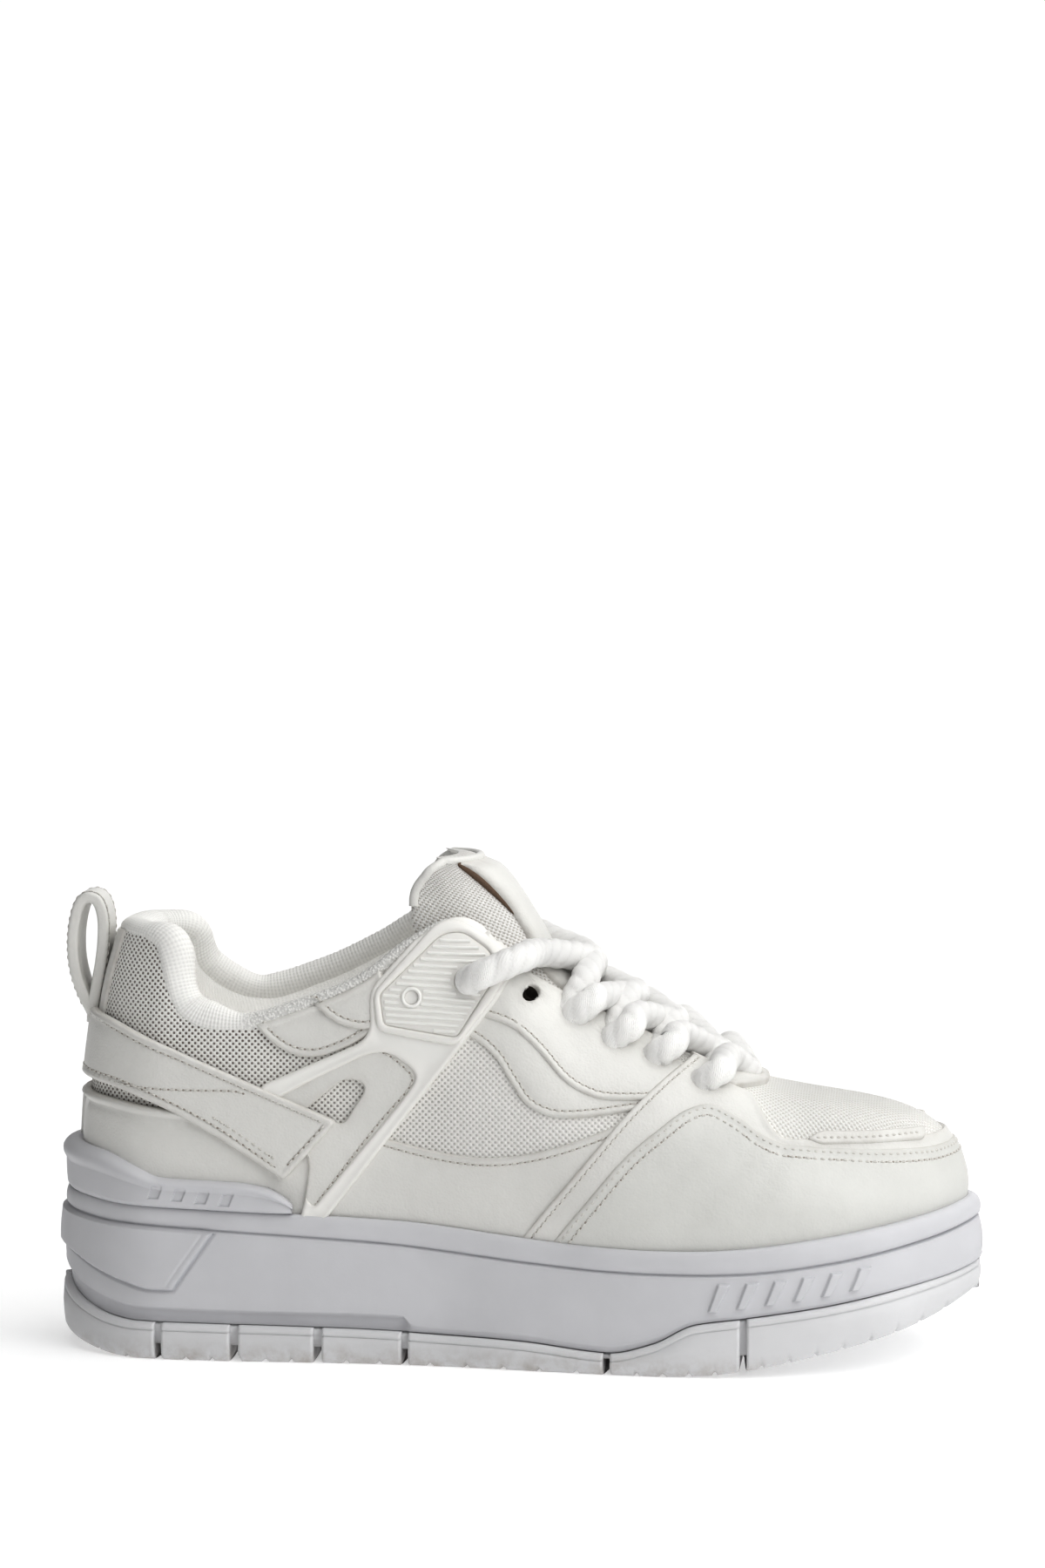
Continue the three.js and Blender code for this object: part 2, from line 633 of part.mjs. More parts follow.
// Point of the lateral edge of the throat at x.
function throatEdge(x) {
  const rows = 2 * (TOP_LINE.length - 1);
  let [low, high] = [8 / rows, 14 / rows];
  for (let i = 0; i < 20; i++) {
    const middle = (low + high) / 2;
    if (around(LOOPS.topX, middle) < x) low = middle;
    else high = middle;
  }
  return upperPoint(low, 1);
}

// The tongue's frame at u from 0, under the vamp, to 1, its top: outer face, its outward normal.
function tongueFrame(u) {
  const path = new THREE.CatmullRomCurve3(TONGUE.map((r) => new THREE.Vector3(r.x, 0, r.z)));
  const row = u * (TONGUE.length - 1);
  const k = Math.min(Math.floor(row), TONGUE.length - 2);
  const size = (column) => THREE.MathUtils.lerp(TONGUE[k][column], TONGUE[k + 1][column], row - k);
  const run = path.getTangent(u);
  const normal = new THREE.Vector3(run.z, 0, -run.x);
  return {
    centre: path.getPoint(u),
    normal,
    droop: normal.clone().lerp(new THREE.Vector3(1, 0, 0.15), size("wrap")).normalize(),
    half: size("half"),
    thick: size("thick"),
  };
}

// Point on the tongue: side from -1 to 1 across it, out above its outer face.
function tonguePoint(u, side, out) {
  const { centre, normal, droop, half } = tongueFrame(u);
  const y = side * half;
  const sag = y ** 2 / (2 * TONGUE_ARCH);
  return centre.clone().addScaledVector(normal, out).addScaledVector(droop, -sag).setY(y);
}

function tongue() {
  const steps = 16;
  const sections = [];
  for (let i = 0; i <= steps; i++) {
    const u = i / steps;
    const { thick } = tongueFrame(u);
    const edge = [-1, -0.8, -0.55, -0.28, 0, 0.28, 0.55, 0.8, 1];
    const crown = (s) => (1 - s ** 4) ** 0.5;
    const face = edge.map((s) => tonguePoint(u, s, (thick / 2) * (crown(s) - 1)));
    const back = edge
      .slice(1, -1)
      .reverse()
      .map((s) => tonguePoint(u, s, (-thick / 2) * (crown(s) + 1)));
    sections.push([...face, ...back]);
  }
  return bar(sections);
}

function insole() {
  const ring = (inset, height) =>
    stations.map((t) => {
      const { point, normal } = planLoop("foot", t);
      const z = bedHeight(point.x) + height;
      return new THREE.Vector3(point.x - normal.x * inset, point.y - normal.y * inset, z);
    });
  const edge = WALL + 2 * GAP;
  return tray([
    ring(edge, GAP),
    ring(edge, INSOLE - 0.8),
    ring(edge + 1.5, INSOLE),
  ]);
}

function laceCage(side) {
  const arms = layer(OVERLAY_GAP, CAGE)
    .intersect(SIDES[side](roundedShape(CAGE_OUTLINE)))
    .subtract(SIDES[side](roundedShape(CAGE_WINDOW)));
  const plate = layer(OVERLAY_GAP, PLATE).intersect(SIDES[side](roundedShape(PLATE_OUTLINE)));
  let solid = arms.add(plate);
  for (const hole of PLATE_HOLES) {
    solid = solid.subtract(SIDES[side](circle(hole.x, hole.z, hole.radius)));
  }
  return solid;
}

function heelStrap(under) {
  const solid = layer(OVERLAY_GAP, STRAP).intersect(SIDES.both(roundedShape(STRAP_OUTLINE)));
  const beneath = layer(-2, CAGE + GAP);
  return under.reduce(
    (left, shape) => left.subtract(beneath.intersect(SIDES.both(roundedShape(grown(shape))))),
    solid,
  );
}

// A side outline grown outwards by the clearance, from its own middle.
function grown(corners) {
  const [x0, z0] = [0, 1].map((k) => corners.reduce((sum, c) => sum + c[k], 0) / corners.length);
  return corners.map(([x, z, radius]) => {
    const far = Math.hypot(x - x0, z - z0);
    const share = 1 + (4 * GAP) / far;
    return [x0 + (x - x0) * share, z0 + (z - z0) * share, radius];
  });
}

function heelCounter() {
  return layer(OVERLAY_GAP, COUNTER)
    .intersect(SIDES.both(roundedShape(COUNTER_OUTLINE)))
    .subtract(clipSpace());
}

function pullLoop() {
  const back = (z) => upperAtHeight(0, z, 0).x - 2 * GAP;
  const outline = new THREE.Shape();
  outline.moveTo(back(LOOP_BASE), LOOP_BASE);
  for (const z of [109, 114, 119, 124]) outline.lineTo(back(z), z);
  outline.bezierCurveTo(17, 131, 15.5, 138.6, 10, 138.8);
  outline.bezierCurveTo(4.4, 138.6, 2.6, 128, 2.9, 119);
  outline.bezierCurveTo(3.2, 112, 5.6, 107, 7.4, LOOP_BASE);
  const hole = new THREE.Path();
  hole.moveTo(9.4, 108.5);
  hole.bezierCurveTo(6.6, 112, 5.6, 118, 5.8, 123);
  hole.bezierCurveTo(5.9, 131, 8, 136, 10, 136);
  hole.bezierCurveTo(13, 135.6, 13, 128, 12, 121);
  hole.bezierCurveTo(11.6, 116, 10.8, 112, 9.4, 108.5);
  outline.holes.push(hole);
  return across(outline, -LOOP_WIDTH / 2, LOOP_WIDTH / 2);
}

// One lace strand through points, as a tube.
function strand(points) {
  const path = new THREE.CatmullRomCurve3(points);
  const round = new THREE.Shape();
  for (let i = 0; i < LACE_SIDES; i++) {
    const turn = (2 * Math.PI * i) / LACE_SIDES;
    const [x, y] = [LACE_RADIUS * Math.cos(turn), LACE_RADIUS * Math.sin(turn)];
    if (i === 0) round.moveTo(x, y);
    else round.lineTo(x, y);
  }
  round.closePath();
  const steps = Math.ceil(path.getLength() / (1.9 * LACE_RADIUS));
  return solidOfGeometry(new THREE.ExtrudeGeometry(round, { steps, extrudePath: path }));
}

function mirrored(points) {
  return points.map((p) => new THREE.Vector3(p.x, -p.y, p.z));
}

// The lace over the throat, in one: a bar between the lowest eyelets, and above it crossed strands.
// Each strand rises out of its eyelet, or the plate's hole, passes over the edge of the throat and
// runs forward across the tongue to the other side, where it ends short of that side's edge.
function laces() {
  const stand = LACE_RADIUS + GAP;
  const onTongue = (x, y, lift) => {
    const u = tongueAt(x);
    return tonguePoint(u, y / tongueFrame(u).half, stand + lift);
  };
  const rising = (k) => {
    const { point, out, edge } = eyelet("lateral", k);
    return [
      point.clone().addScaledVector(out, stand + 0.4),
      edge.clone().addScaledVector(out, stand + 1).add(new THREE.Vector3(0, 0.5, 2)),
    ];
  };
  const lowest = rising(EYELETS - 1);
  const bar = [...lowest, onTongue(lowest[1].x + 1, 0, 1.6), ...mirrored(lowest).reverse()];
  let solid = strand(bar);
  const cross = (rise, middle, end) => {
    const path = [...rise, middle, end];
    solid = solid.add(strand(path)).add(strand(mirrored(path)));
  };
  const underEdge = (k) => {
    const { edge } = eyelet("lateral", k);
    return onTongue(edge.x, -edge.y - LACE_RADIUS - 2.4, 0.4);
  };
  for (let k = EYELETS - 2; k >= 1; k--) {
    const rise = rising(k);
    cross(rise, onTongue((rise[1].x + rising(k + 1)[1].x) / 2, 0, 0.8), underEdge(k + 1));
  }
  const onPlate = (x, z) => {
    const { t, v } = placeOnSide(x, z, "lateral");
    return upperPoint(t, v, PLATE + stand + 1);
  };
  const { x, z } = PLATE_HOLES[1];
  const top = [onPlate(x, z), onPlate(x + 8, z + 2.5), new THREE.Vector3(x + 20, -18, z + 7)];
  cross(top, onTongue(157, -2, 2), underEdge(1));
  return solid;
}

// The place along the tongue whose outer face is at x.
function tongueAt(x) {
  let [low, high] = [0, 1];
  for (let i = 0; i < 20; i++) {
    const middle = (low + high) / 2;
    if (tongueFrame(middle).centre.x > x) low = middle;
    else high = middle;
  }
  return low;
}

// ---------------------------------------------------------------- the shoe
const FINISHES = {
  rubber: { color: 0xe9e9ea, roughness: 0.62, metalness: 0 },
  midsole: { color: 0xe6e6ea, roughness: 0.5, metalness: 0 },
  mesh: { color: 0xe8e7e2, roughness: 0.9, metalness: 0 },
  leather: { color: 0xf0efeb, roughness: 0.45, metalness: 0 },
  moulded: { color: 0xf1f0ee, roughness: 0.38, metalness: 0 },
  lining: { color: 0xeeeeeb, roughness: 0.95, metalness: 0 },
  lace: { color: 0xf6f6f4, roughness: 0.9, metalness: 0 },
};

const shoe = new THREE.Group();
function add(name, finish, solid) {
  const mesh = new THREE.Mesh(geometryOf(solid), new THREE.MeshStandardMaterial(FINISHES[finish]));
  mesh.name = name;
  shoe.add(mesh);
}

add("outsole", "rubber", outsole());
add("midsole", "midsole", midsole());
add("heel_clip", "midsole", heelClip());
add("upper", "mesh", upper());
add("tongue", "mesh", tongue());
add("insole", "lining", insole());
add("lace_cage_lateral", "moulded", laceCage("lateral"));
add("lace_cage_medial", "moulded", laceCage("medial"));
add("heel_counter", "leather", heelCounter());
add("heel_strap", "leather", heelStrap([CAGE_OUTLINE, COUNTER_OUTLINE]));
add("pull_loop", "leather", pullLoop());
add("laces", "lace", laces());

const box = new THREE.Box3().setFromObject(shoe);
const middle = box.getCenter(new THREE.Vector3());
shoe.position.set(-middle.x, -middle.y, -box.min.z);

const part = new THREE.Group();
part.add(shoe);
export default part;
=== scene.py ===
"""Looks of the platform sneaker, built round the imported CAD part.

Lengths are in millimetres in the shoe's own frame, as in the CAD source: x from the back of the heel
to the toe, -y lateral, z up. make() moves them into the row frame, in metres.
"""

import math

import bpy
import numpy as np
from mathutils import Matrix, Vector
from mathutils.geometry import delaunay_2d_cdt


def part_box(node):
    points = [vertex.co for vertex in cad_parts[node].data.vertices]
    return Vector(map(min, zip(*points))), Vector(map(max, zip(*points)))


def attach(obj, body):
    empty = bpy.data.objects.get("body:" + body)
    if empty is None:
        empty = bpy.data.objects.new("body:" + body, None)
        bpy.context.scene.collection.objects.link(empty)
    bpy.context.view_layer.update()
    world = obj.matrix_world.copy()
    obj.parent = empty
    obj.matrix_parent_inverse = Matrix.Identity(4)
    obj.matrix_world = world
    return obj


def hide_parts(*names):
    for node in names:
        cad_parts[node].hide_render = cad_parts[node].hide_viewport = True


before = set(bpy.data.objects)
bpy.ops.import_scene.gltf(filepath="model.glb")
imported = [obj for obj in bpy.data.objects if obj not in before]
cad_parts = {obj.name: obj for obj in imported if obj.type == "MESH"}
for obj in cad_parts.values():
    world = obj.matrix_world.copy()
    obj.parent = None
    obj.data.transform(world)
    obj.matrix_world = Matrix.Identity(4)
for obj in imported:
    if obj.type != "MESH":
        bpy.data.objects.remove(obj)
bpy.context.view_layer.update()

# ---------------------------------------------------------------- the shoe's tables, as in the CAD
GAP = 0.3  # clearance that the CAD keeps between pieces
WALL = 2.6  # the upper: mesh, foam and lining together
CUP_DEPTH = 8.0  # how far the upper sits down inside the rim


def table(columns, rows):
    return {name: np.array(column, float) for name, column in zip(columns.split(), zip(*rows))}


OUTLINE = table("soleX soleLat soleMed footX footLat footMed", [
    (0, 0, 0, 8.6, 0, 0),
    (6, 21, 20.5, 12, 16.8, 16.3),
    (25, 35.5, 34.5, 27.4, 28.9, 28),
    (50, 39, 37.5, 50.8, 32, 30.6),
    (75, 39.5, 37, 75.2, 32.5, 30),
    (100, 40, 36, 100, 33.1, 29.2),
    (125, 42.5, 38, 124, 35.7, 31.3),
    (150, 47, 43, 148.5, 40.2, 36.5),
    (174, 51, 48, 172, 44.2, 41.4),
    (198, 53, 50.5, 196, 46, 43.6),
    (222, 51.5, 49.5, 218.5, 44.7, 42.8),
    (244, 45.5, 46, 238.5, 39.3, 39.8),
    (263, 34.5, 38.5, 256, 29, 33),
    (277.5, 18.5, 25.5, 270, 15.2, 21.5),
    (285, -4, 4, 277.5, -4, 4),
])
TOP_LINE = table("x lat med zLat zMed pad", [
    (19.5, 0, 0, 128.5, 128.5, 7),
    (24, 15, 15, 129, 129, 7),
    (35, 24.5, 23.5, 125, 126.5, 7),
    (42, 29, 28, 105.3, 114.5, 6.5),
    (58, 31, 30, 101.2, 106.3, 5.5),
    (78, 31, 30, 107, 112, 4),
    (96, 30, 29.5, 114.8, 121, 3),
    (111, 27.5, 27, 126.2, 130.5, 2),
    (126, 23, 22.5, 133, 134, 1),
    (142, 19.5, 19.5, 118.5, 119, 0),
    (163, 17.2, 17, 107, 107.5, 0),
    (184, 14.5, 14.5, 96.8, 97, 0),
    (201, 11, 11.5, 88, 88, 0),
    (210.5, 6, 7, 84, 84, 0),
    (213.5, -0.5, 0.5, 83, 83, 0),
])
HANDLES = table("lowOut lowUp topOut topDown", [
    (1.2, 31, 8, 24),
    (2, 30, 7, 24),
    (2.5, 27, 5, 22),
    (3, 21, 3, 17),
    (3, 20, 2, 17),
    (3, 20, 2.5, 18),
    (3, 22, 4, 20),
    (2.5, 25, 6, 20),
    (2, 26, 8, 16),
    (2, 27, 8, 14.5),
    (2.5, 28, 10.5, 15),
    (3, 30, 15, 14),
    (3, 33, 23.5, 12.5),
    (2.5, 38, 37, 9.5),
    (2, 42, 42, 8.5),
])
SOLE = table("x bottom tread wall groove rim wallIn rimIn", [
    (0, 5, 20.5, 27, 43.5, 49, 1, 2.8),
    (8, 2.6, 15.5, 21, 42.5, 48.2, 1.3, 3),
    (18, 0.5, 12.2, 17.4, 41.4, 47.2, 1.7, 3.5),
    (26, 0, 11.3, 16, 41, 46.8, 2, 4),
    (60, 0, 11, 15.3, 39.2, 45.6, 2.2, 4.3),
    (109, 0, 10, 14.8, 36.3, 43.4, 2.2, 4.4),
    (112, 0, 9.8, 12, 36, 43.2, 2.2, 4.4),
    (145, 0, 8.6, 10.6, 32.7, 39.8, 2.2, 4.4),
    (172, 0, 6.4, 8.4, 30.9, 37.8, 2.2, 4.4),
    (185, 0, 9.5, 11.3, 30.6, 37.4, 2.2, 4.4),
    (198, 0.3, 15.6, 17, 30.6, 37.5, 2.2, 4.4),
    (212, 1.9, 17.5, 18.8, 31, 38.2, 2.2, 4.4),
    (240, 7.4, 21.2, 22.5, 33.8, 41.3, 2.2, 4.7),
    (265, 13.4, 25.4, 26.7, 38, 44.8, 2, 5),
    (285, 20, 28.6, 29.8, 42, 48, 2, 5.2),
])


def round_the_shoe(lateral, medial):
    return np.concatenate([lateral, medial[1:-1][::-1]])


def catmull(a, b, c, d, f):
    """Catmull-Rom curve from b to c, at f from 0 to 1."""
    return b + 0.5 * f * (c - a + f * (2 * a - 5 * b + 4 * c - d + f * (3 * (b - c) + d - a)))


def around(values, t):
    """Closed curve through values, at t from 0 to 1."""
    n = len(values)
    place = (np.asarray(t, float) % 1) * n
    i = np.floor(place).astype(int)
    return catmull(*(values[(i + k) % n] for k in (-1, 0, 1, 2)), place - i)


def monotone(xs, ys, x):
    """Monotone cubic curve through (xs, ys), holding its end values outside."""
    x = np.clip(np.asarray(x, float), xs[0], xs[-1])
    width = np.diff(xs)
    slope = np.diff(ys) / width
    before, after = slope[:-1], slope[1:]
    same = before * after > 0
    total = np.where(same, before + after, 1)
    tangent = np.concatenate(
        [slope[:1], np.where(same, 2 * before * after / total, 0), slope[-1:]]
    )
    k = np.clip(np.searchsorted(xs, x, side="right") - 1, 0, len(xs) - 2)
    f = (x - xs[k]) / width[k]
    return (
        ys[k] * (1 + 2 * f) * (1 - f) ** 2
        + ys[k + 1] * f * f * (3 - 2 * f)
        + tangent[k] * width[k] * f * (1 - f) ** 2
        - tangent[k + 1] * width[k] * f * f * (1 - f)
    )


def level(column, x):
    return monotone(SOLE["x"], SOLE[column], x)


LOOPS = {
    "soleX": round_the_shoe(OUTLINE["soleX"], OUTLINE["soleX"]),
    "soleY": round_the_shoe(-OUTLINE["soleLat"], OUTLINE["soleMed"]),
    "footX": round_the_shoe(OUTLINE["footX"], OUTLINE["footX"]),
    "footY": round_the_shoe(-OUTLINE["footLat"], OUTLINE["footMed"]),
    "topX": round_the_shoe(TOP_LINE["x"], TOP_LINE["x"]),
    "topY": round_the_shoe(-TOP_LINE["lat"], TOP_LINE["med"]),
    "topZ": round_the_shoe(TOP_LINE["zLat"], TOP_LINE["zMed"]),
    "pad": round_the_shoe(TOP_LINE["pad"], TOP_LINE["pad"]),
}
for column in HANDLES:
    LOOPS[column] = round_the_shoe(HANDLES[column], HANDLES[column])


def dot(a, b):
    return (a * b).sum(-1)


def unit(a):
    return a / np.maximum(np.linalg.norm(a, axis=-1, keepdims=True), 1e-12)


def vec(x, y, z):
    return np.stack(np.broadcast_arrays(x, y, z), -1).astype(float)


def full_turn(n):
    """n angles evenly round a circle."""
    return np.linspace(0, 2 * math.pi, n + 1)[:-1]


def smoothstep(low, high, x):
    f = np.clip((np.asarray(x, float) - low) / (high - low), 0, 1)
    return f * f * (3 - 2 * f)


def plan_loop(name, t):
    """Point and outward level normal of the sole's or the foot's plan outline."""
    xs, ys = LOOPS[name + "X"], LOOPS[name + "Y"]
    step = 0.002
    run_x = around(xs, t + step) - around(xs, t - step)
    run_y = around(ys, t + step) - around(ys, t - step)
    return vec(around(xs, t), around(ys, t), 0), unit(vec(run_y, -run_x, 0))


def meridian(t):
    point, n = plan_loop("foot", t)
    foot = point + vec(0, 0, level("rim", point[..., 0]) - CUP_DEPTH + GAP)
    top = vec(*(around(LOOPS[c], t) for c in ("topX", "topY", "topZ")))
    sideways = vec(-n[..., 1], n[..., 0], 0)
    third = sideways * (dot(top - foot, sideways) / 3)[..., None]
    low = foot + n * around(LOOPS["lowOut"], t)[..., None] + third
    low = low + vec(0, 0, around(LOOPS["lowUp"], t))
    high = top + n * around(LOOPS["topOut"], t)[..., None] - third
    high = high - vec(0, 0, around(LOOPS["topDown"], t))
    return foot, low, high, top


STEPS = 4000
MERIDIANS = np.stack(meridian(np.arange(STEPS + 1) / STEPS))


def face(t, v):
    t, v = np.broadcast_arrays(np.asarray(t, float), np.asarray(v, float))
    place = (t % 1) * STEPS
    i = np.minimum(place.astype(int), STEPS - 1)
    f = (place - i)[..., None]
    a, b, c, d = MERIDIANS[:, i] * (1 - f) + MERIDIANS[:, i + 1] * f
    v = v[..., None]
    return a * (1 - v) ** 3 + 3 * b * v * (1 - v) ** 2 + 3 * c * v * v * (1 - v) + d * v**3


def slopes(point, a, b, step=0.002):
    """How a surface point(a, b) runs with a and with b."""
    along_a = (point(a + step, b) - point(a - step, b)) / (2 * step)
    high, low = np.minimum(b + step, 1), np.maximum(b - step, 0)
    along_b = (point(a, high) - point(a, low)) / (high - low)[..., None]
    return along_a, along_b


def face_normal(t, v):
    return unit(np.cross(*slopes(face, t, v, 0.004)))


def upper_point(t, v, out=0.0):
    """Point of the upper's outer face at (t, v), moved out along its normal."""
    t, v = np.broadcast_arrays(np.asarray(t, float), np.asarray(v, float))
    return face(t, v) + face_normal(t, v) * np.asarray(out, float)[..., None]


def wall_thickness(t, v):
    return WALL + np.maximum(around(LOOPS["pad"], t), 0) * smoothstep(0.5, 0.92, v)


def places(targets, seen, low_t=0.0005, high_t=0.4995):
    """The (t, v) whose points of the face, as seen() shows them, lie nearest to the targets."""
    targets = np.asarray(targets, float)
    grid_t, grid_v = np.meshgrid(np.linspace(low_t, high_t, 160), np.linspace(0, 1, 50))
    flat = seen(face(grid_t, grid_v)).reshape(-1, 2)
    nearest = [np.argmin(((flat - p) ** 2).sum(1)) for p in targets]
    t, v = grid_t.ravel()[nearest], grid_v.ravel()[nearest]
    reach_t, reach_v = (high_t - low_t) / 120, 1 / 40
    steps = np.linspace(-1, 1, 7)
    off_t, off_v = (a.ravel() for a in np.meshgrid(steps, steps))
    for _ in range(9):
        try_t = np.clip(t[:, None] + off_t * reach_t, low_t, high_t)
        try_v = np.clip(v[:, None] + off_v * reach_v, 0, 1)
        far = ((seen(face(try_t, try_v)) - targets[:, None]) ** 2).sum(-1)
        best = far.argmin(1)
        t, v = (np.take_along_axis(a, best[:, None], 1)[:, 0] for a in (try_t, try_v))
        reach_t, reach_v = reach_t / 2, reach_v / 2
    return t, v


# ---------------------------------------------------------------- soft relief of the upper
# Soft puffs (+) and creases (-) on the side elevation: centre x, z, half-length along its run,
# half-width across it, direction in degrees, height.
RELIEF = [
    (46, 94, 26, 13, -24, 0.9),
    (24, 112, 12, 14, 90, 0.6),
    (140, 77, 26, 9, -8, 0.7),
    (240, 74, 26, 9, 0, 0.5),
    (219, 58, 16, 1.9, 62, -0.42),
    (228, 54, 13, 2.2, 58, -0.3),
    (211, 60, 13, 1.8, 66, -0.3),
    (200, 52, 12, 1.7, 50, -0.22),
    (122, 55, 20, 2.2, 10, -0.25),
    (96, 116, 9, 1.5, 20, -0.25),
    (246, 50, 30, 5, -4, 0.35),
]


def relief(point):
    """Height of the soft relief at points of the face, the same on both sides."""
    total = np.zeros(point.shape[:-1])
    for x, z, length, width, turn, height in RELIEF:
        c, s = math.cos(math.radians(turn)), math.sin(math.radians(turn))
        dx, dz = point[..., 0] - x, point[..., 2] - z
        run, across = (dx * c + dz * s) / length, (dz * c - dx * s) / width
        total += height * np.exp(-(run**2) - across**2)
    return total


def skin(t, v, out=0.0):
    """Point of the upper as it looks: the CAD's face with its soft relief, moved out."""
    return upper_point(t, v, np.asarray(out, float) + relief(face(t, v)))


# ---------------------------------------------------------------- meshes from arrays
MM = 0.001
STATIONS = 66  # the CAD's own points round the shoe, for finding its frame
ring_xy = plan_loop("sole", np.arange(STATIONS) / STATIONS)[0]
outsole_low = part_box("outsole")[0]
SHIFT = np.array(
    [
        outsole_low.x / MM - ring_xy[:, 0].min(),
        outsole_low.y / MM - ring_xy[:, 1].min(),
        outsole_low.z / MM,
    ]
)


def grid_faces(rows, columns, wrap=False):
    """Quads of a grid of points laid row by row; wrap joins the last column to the first."""
    r, c = np.meshgrid(
        np.arange(rows - 1), np.arange(columns if wrap else columns - 1), indexing="ij"
    )
    a = (r * columns + c).ravel()
    b = (r * columns + (c + 1) % columns).ravel()
    return np.stack([a, b, b + columns, a + columns], 1)


def cap(ring, flip=False):
    """Quads that close a ring of point numbers by joining its two halves across."""
    n = len(ring)
    quads = [[ring[i], ring[i + 1], ring[n - 2 - i], ring[n - 1 - i]] for i in range(n // 2 - 1)]
    return np.array([q[::-1] for q in quads] if flip else quads)


def stacked(rows, ring, floor=True):
    """Closed rings, one above the other, as faces with the last ring and the first closed by caps."""
    last = (len(rows) - 1) * len(rows[0])
    caps = [cap(ring, True)] if floor else []
    return np.concatenate([grid_faces(len(rows), len(rows[0]), wrap=True), *caps, cap(ring + last)])


def merged(parts):
    """Points and faces of several (points, faces) as one mesh."""
    starts = np.cumsum([0] + [len(p) for p, _ in parts[:-1]])
    return (np.concatenate([p for p, _ in parts]),
            np.concatenate([f + start for (_, f), start in zip(parts, starts)]))


def turned_out(points, faces, outward):
    """The faces, turned over together if they look inwards."""
    total = 0.0
    for group in faces:
        a, b, c = (points[group[:, k]] for k in (0, 1, 2))
        normal = np.cross(b - a, c - a)
        toward = (a + b + c) / 3 if outward is None else outward[group[:, 0]]
        total += dot(normal, toward).sum()
    return [g[:, ::-1] if total < 0 else g for g in faces]


def make(name, points, faces, materials, uv=None, period=None, outward=None, kinds=None,
         marks=None):
    """A mesh object in the row frame that rides on the shoe.

    faces is a list of index arrays. uv is in mm, period its size round a closed shape. kinds gives
    each face its material. marks are named numbers at the vertices."""
    points = np.asarray(points, float).reshape(-1, 3)
    centred = points - points.mean(0)
    faces = turned_out(centred, [np.asarray(f, int) for f in faces if len(f)], outward)
    corners = np.concatenate([f.ravel() for f in faces])
    sizes = np.concatenate([np.full(len(f), f.shape[1]) for f in faces])
    mesh = bpy.data.meshes.new(name)
    mesh.vertices.add(len(points))
    mesh.vertices.foreach_set("co", ((points + SHIFT) * MM).astype(np.float32).ravel())
    mesh.loops.add(len(corners))
    mesh.loops.foreach_set("vertex_index", corners.astype(np.int32))
    mesh.polygons.add(len(sizes))
    starts = np.concatenate([[0], np.cumsum(sizes)[:-1]])
    mesh.polygons.foreach_set("loop_start", starts.astype(np.int32))
    mesh.polygons.foreach_set("use_smooth", np.ones(len(sizes), bool))
    if kinds is not None:
        mesh.polygons.foreach_set("material_index", np.asarray(kinds, np.int32))
    mesh.update(calc_edges=True)
    if uv is not None:
        flat = np.asarray(uv, float).reshape(-1, 2)[corners]
        if period:
            owner = np.repeat(np.arange(len(sizes)), sizes)
            top = np.full(len(sizes), -np.inf)
            np.maximum.at(top, owner, flat[:, 0])
            flat[:, 0] += np.where(top[owner] - flat[:, 0] > period / 2, period, 0)
        layer = mesh.uv_layers.new(name="mm")
        layer.data.foreach_set("uv", flat.astype(np.float32).ravel())
    for mark, values in (marks or {}).items():
        attribute = mesh.attributes.new(mark, "FLOAT", "POINT")
        attribute.data.foreach_set("value", np.asarray(values, np.float32).ravel())
    mesh.validate()
    for material in materials if isinstance(materials, list) else [materials]:
        mesh.materials.append(material)
    made = bpy.data.objects.new(name, mesh)
    bpy.context.scene.collection.objects.link(made)
    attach(made, "root")
    return made


def spline(points, spacing=1.0, closed=False):
    """Points close together on a Catmull-Rom curve through points, about spacing apart."""
    p = np.asarray(points, float)
    if closed:
        p = np.concatenate([p[-1:], p, p[:2]])
    else:
        p = np.concatenate([2 * p[:1] - p[1:2], p, 2 * p[-1:] - p[-2:-1]])
    rows = []
    for a, b, c, d in zip(p[:-3], p[1:-2], p[2:-1], p[3:]):
        n = max(int(np.linalg.norm(c - b) / spacing * 2), 2)
        rows.append(catmull(a, b, c, d, np.arange(n)[:, None] / n))
    if not closed:
        rows.append(p[-2:-1])
    return even(np.concatenate(rows), spacing, closed)


def length_along(points):
    """Length along a polyline at each of its points."""
    return np.concatenate([[0], np.cumsum(np.linalg.norm(np.diff(points, axis=0), axis=1))])


def even(points, spacing, closed=False, measure=None):
    """The polyline's points moved along it to be evenly spaced; measure is its shape in mm."""
    points = np.asarray(points, float)
    shape = points if measure is None else measure
    if closed:
        points = np.concatenate([points, points[:1]])
        shape = np.concatenate([shape, shape[:1]])
    run = length_along(shape)
    n = max(int(round(run[-1] / spacing)), 3)
    at = np.linspace(0, run[-1], n + 1)
    out = np.stack([np.interp(at, run, column) for column in points.T], 1)
    return out[:-1] if closed else out


def rounded(corners, spacing=0.8):
    """A closed outline from corners (x, z, radius), rounded as the CAD rounds them."""
    p = np.array([c[:2] for c in corners], float)
    rows = []
    for i, (_, _, radius) in enumerate(corners):
        here = p[i]
        ends = []
        for other in (p[i - 1], p[(i + 1) % len(p)]):
            away = other - here
            ends.append(here + away * min(radius / np.linalg.norm(away), 0.45))
        f = np.linspace(0, 1, 9)[:, None]
        rows.append(ends[0] * (1 - f) ** 2 + 2 * here * f * (1 - f) + ends[1] * f * f)
    return even(np.concatenate(rows), spacing, closed=True)


def elevation(point):
    return point[..., [0, 2]]


def on_side(points):
    """(t, v) of points (x, z) of the lateral elevation, as rows."""
    return np.stack(places(points, elevation), 1)


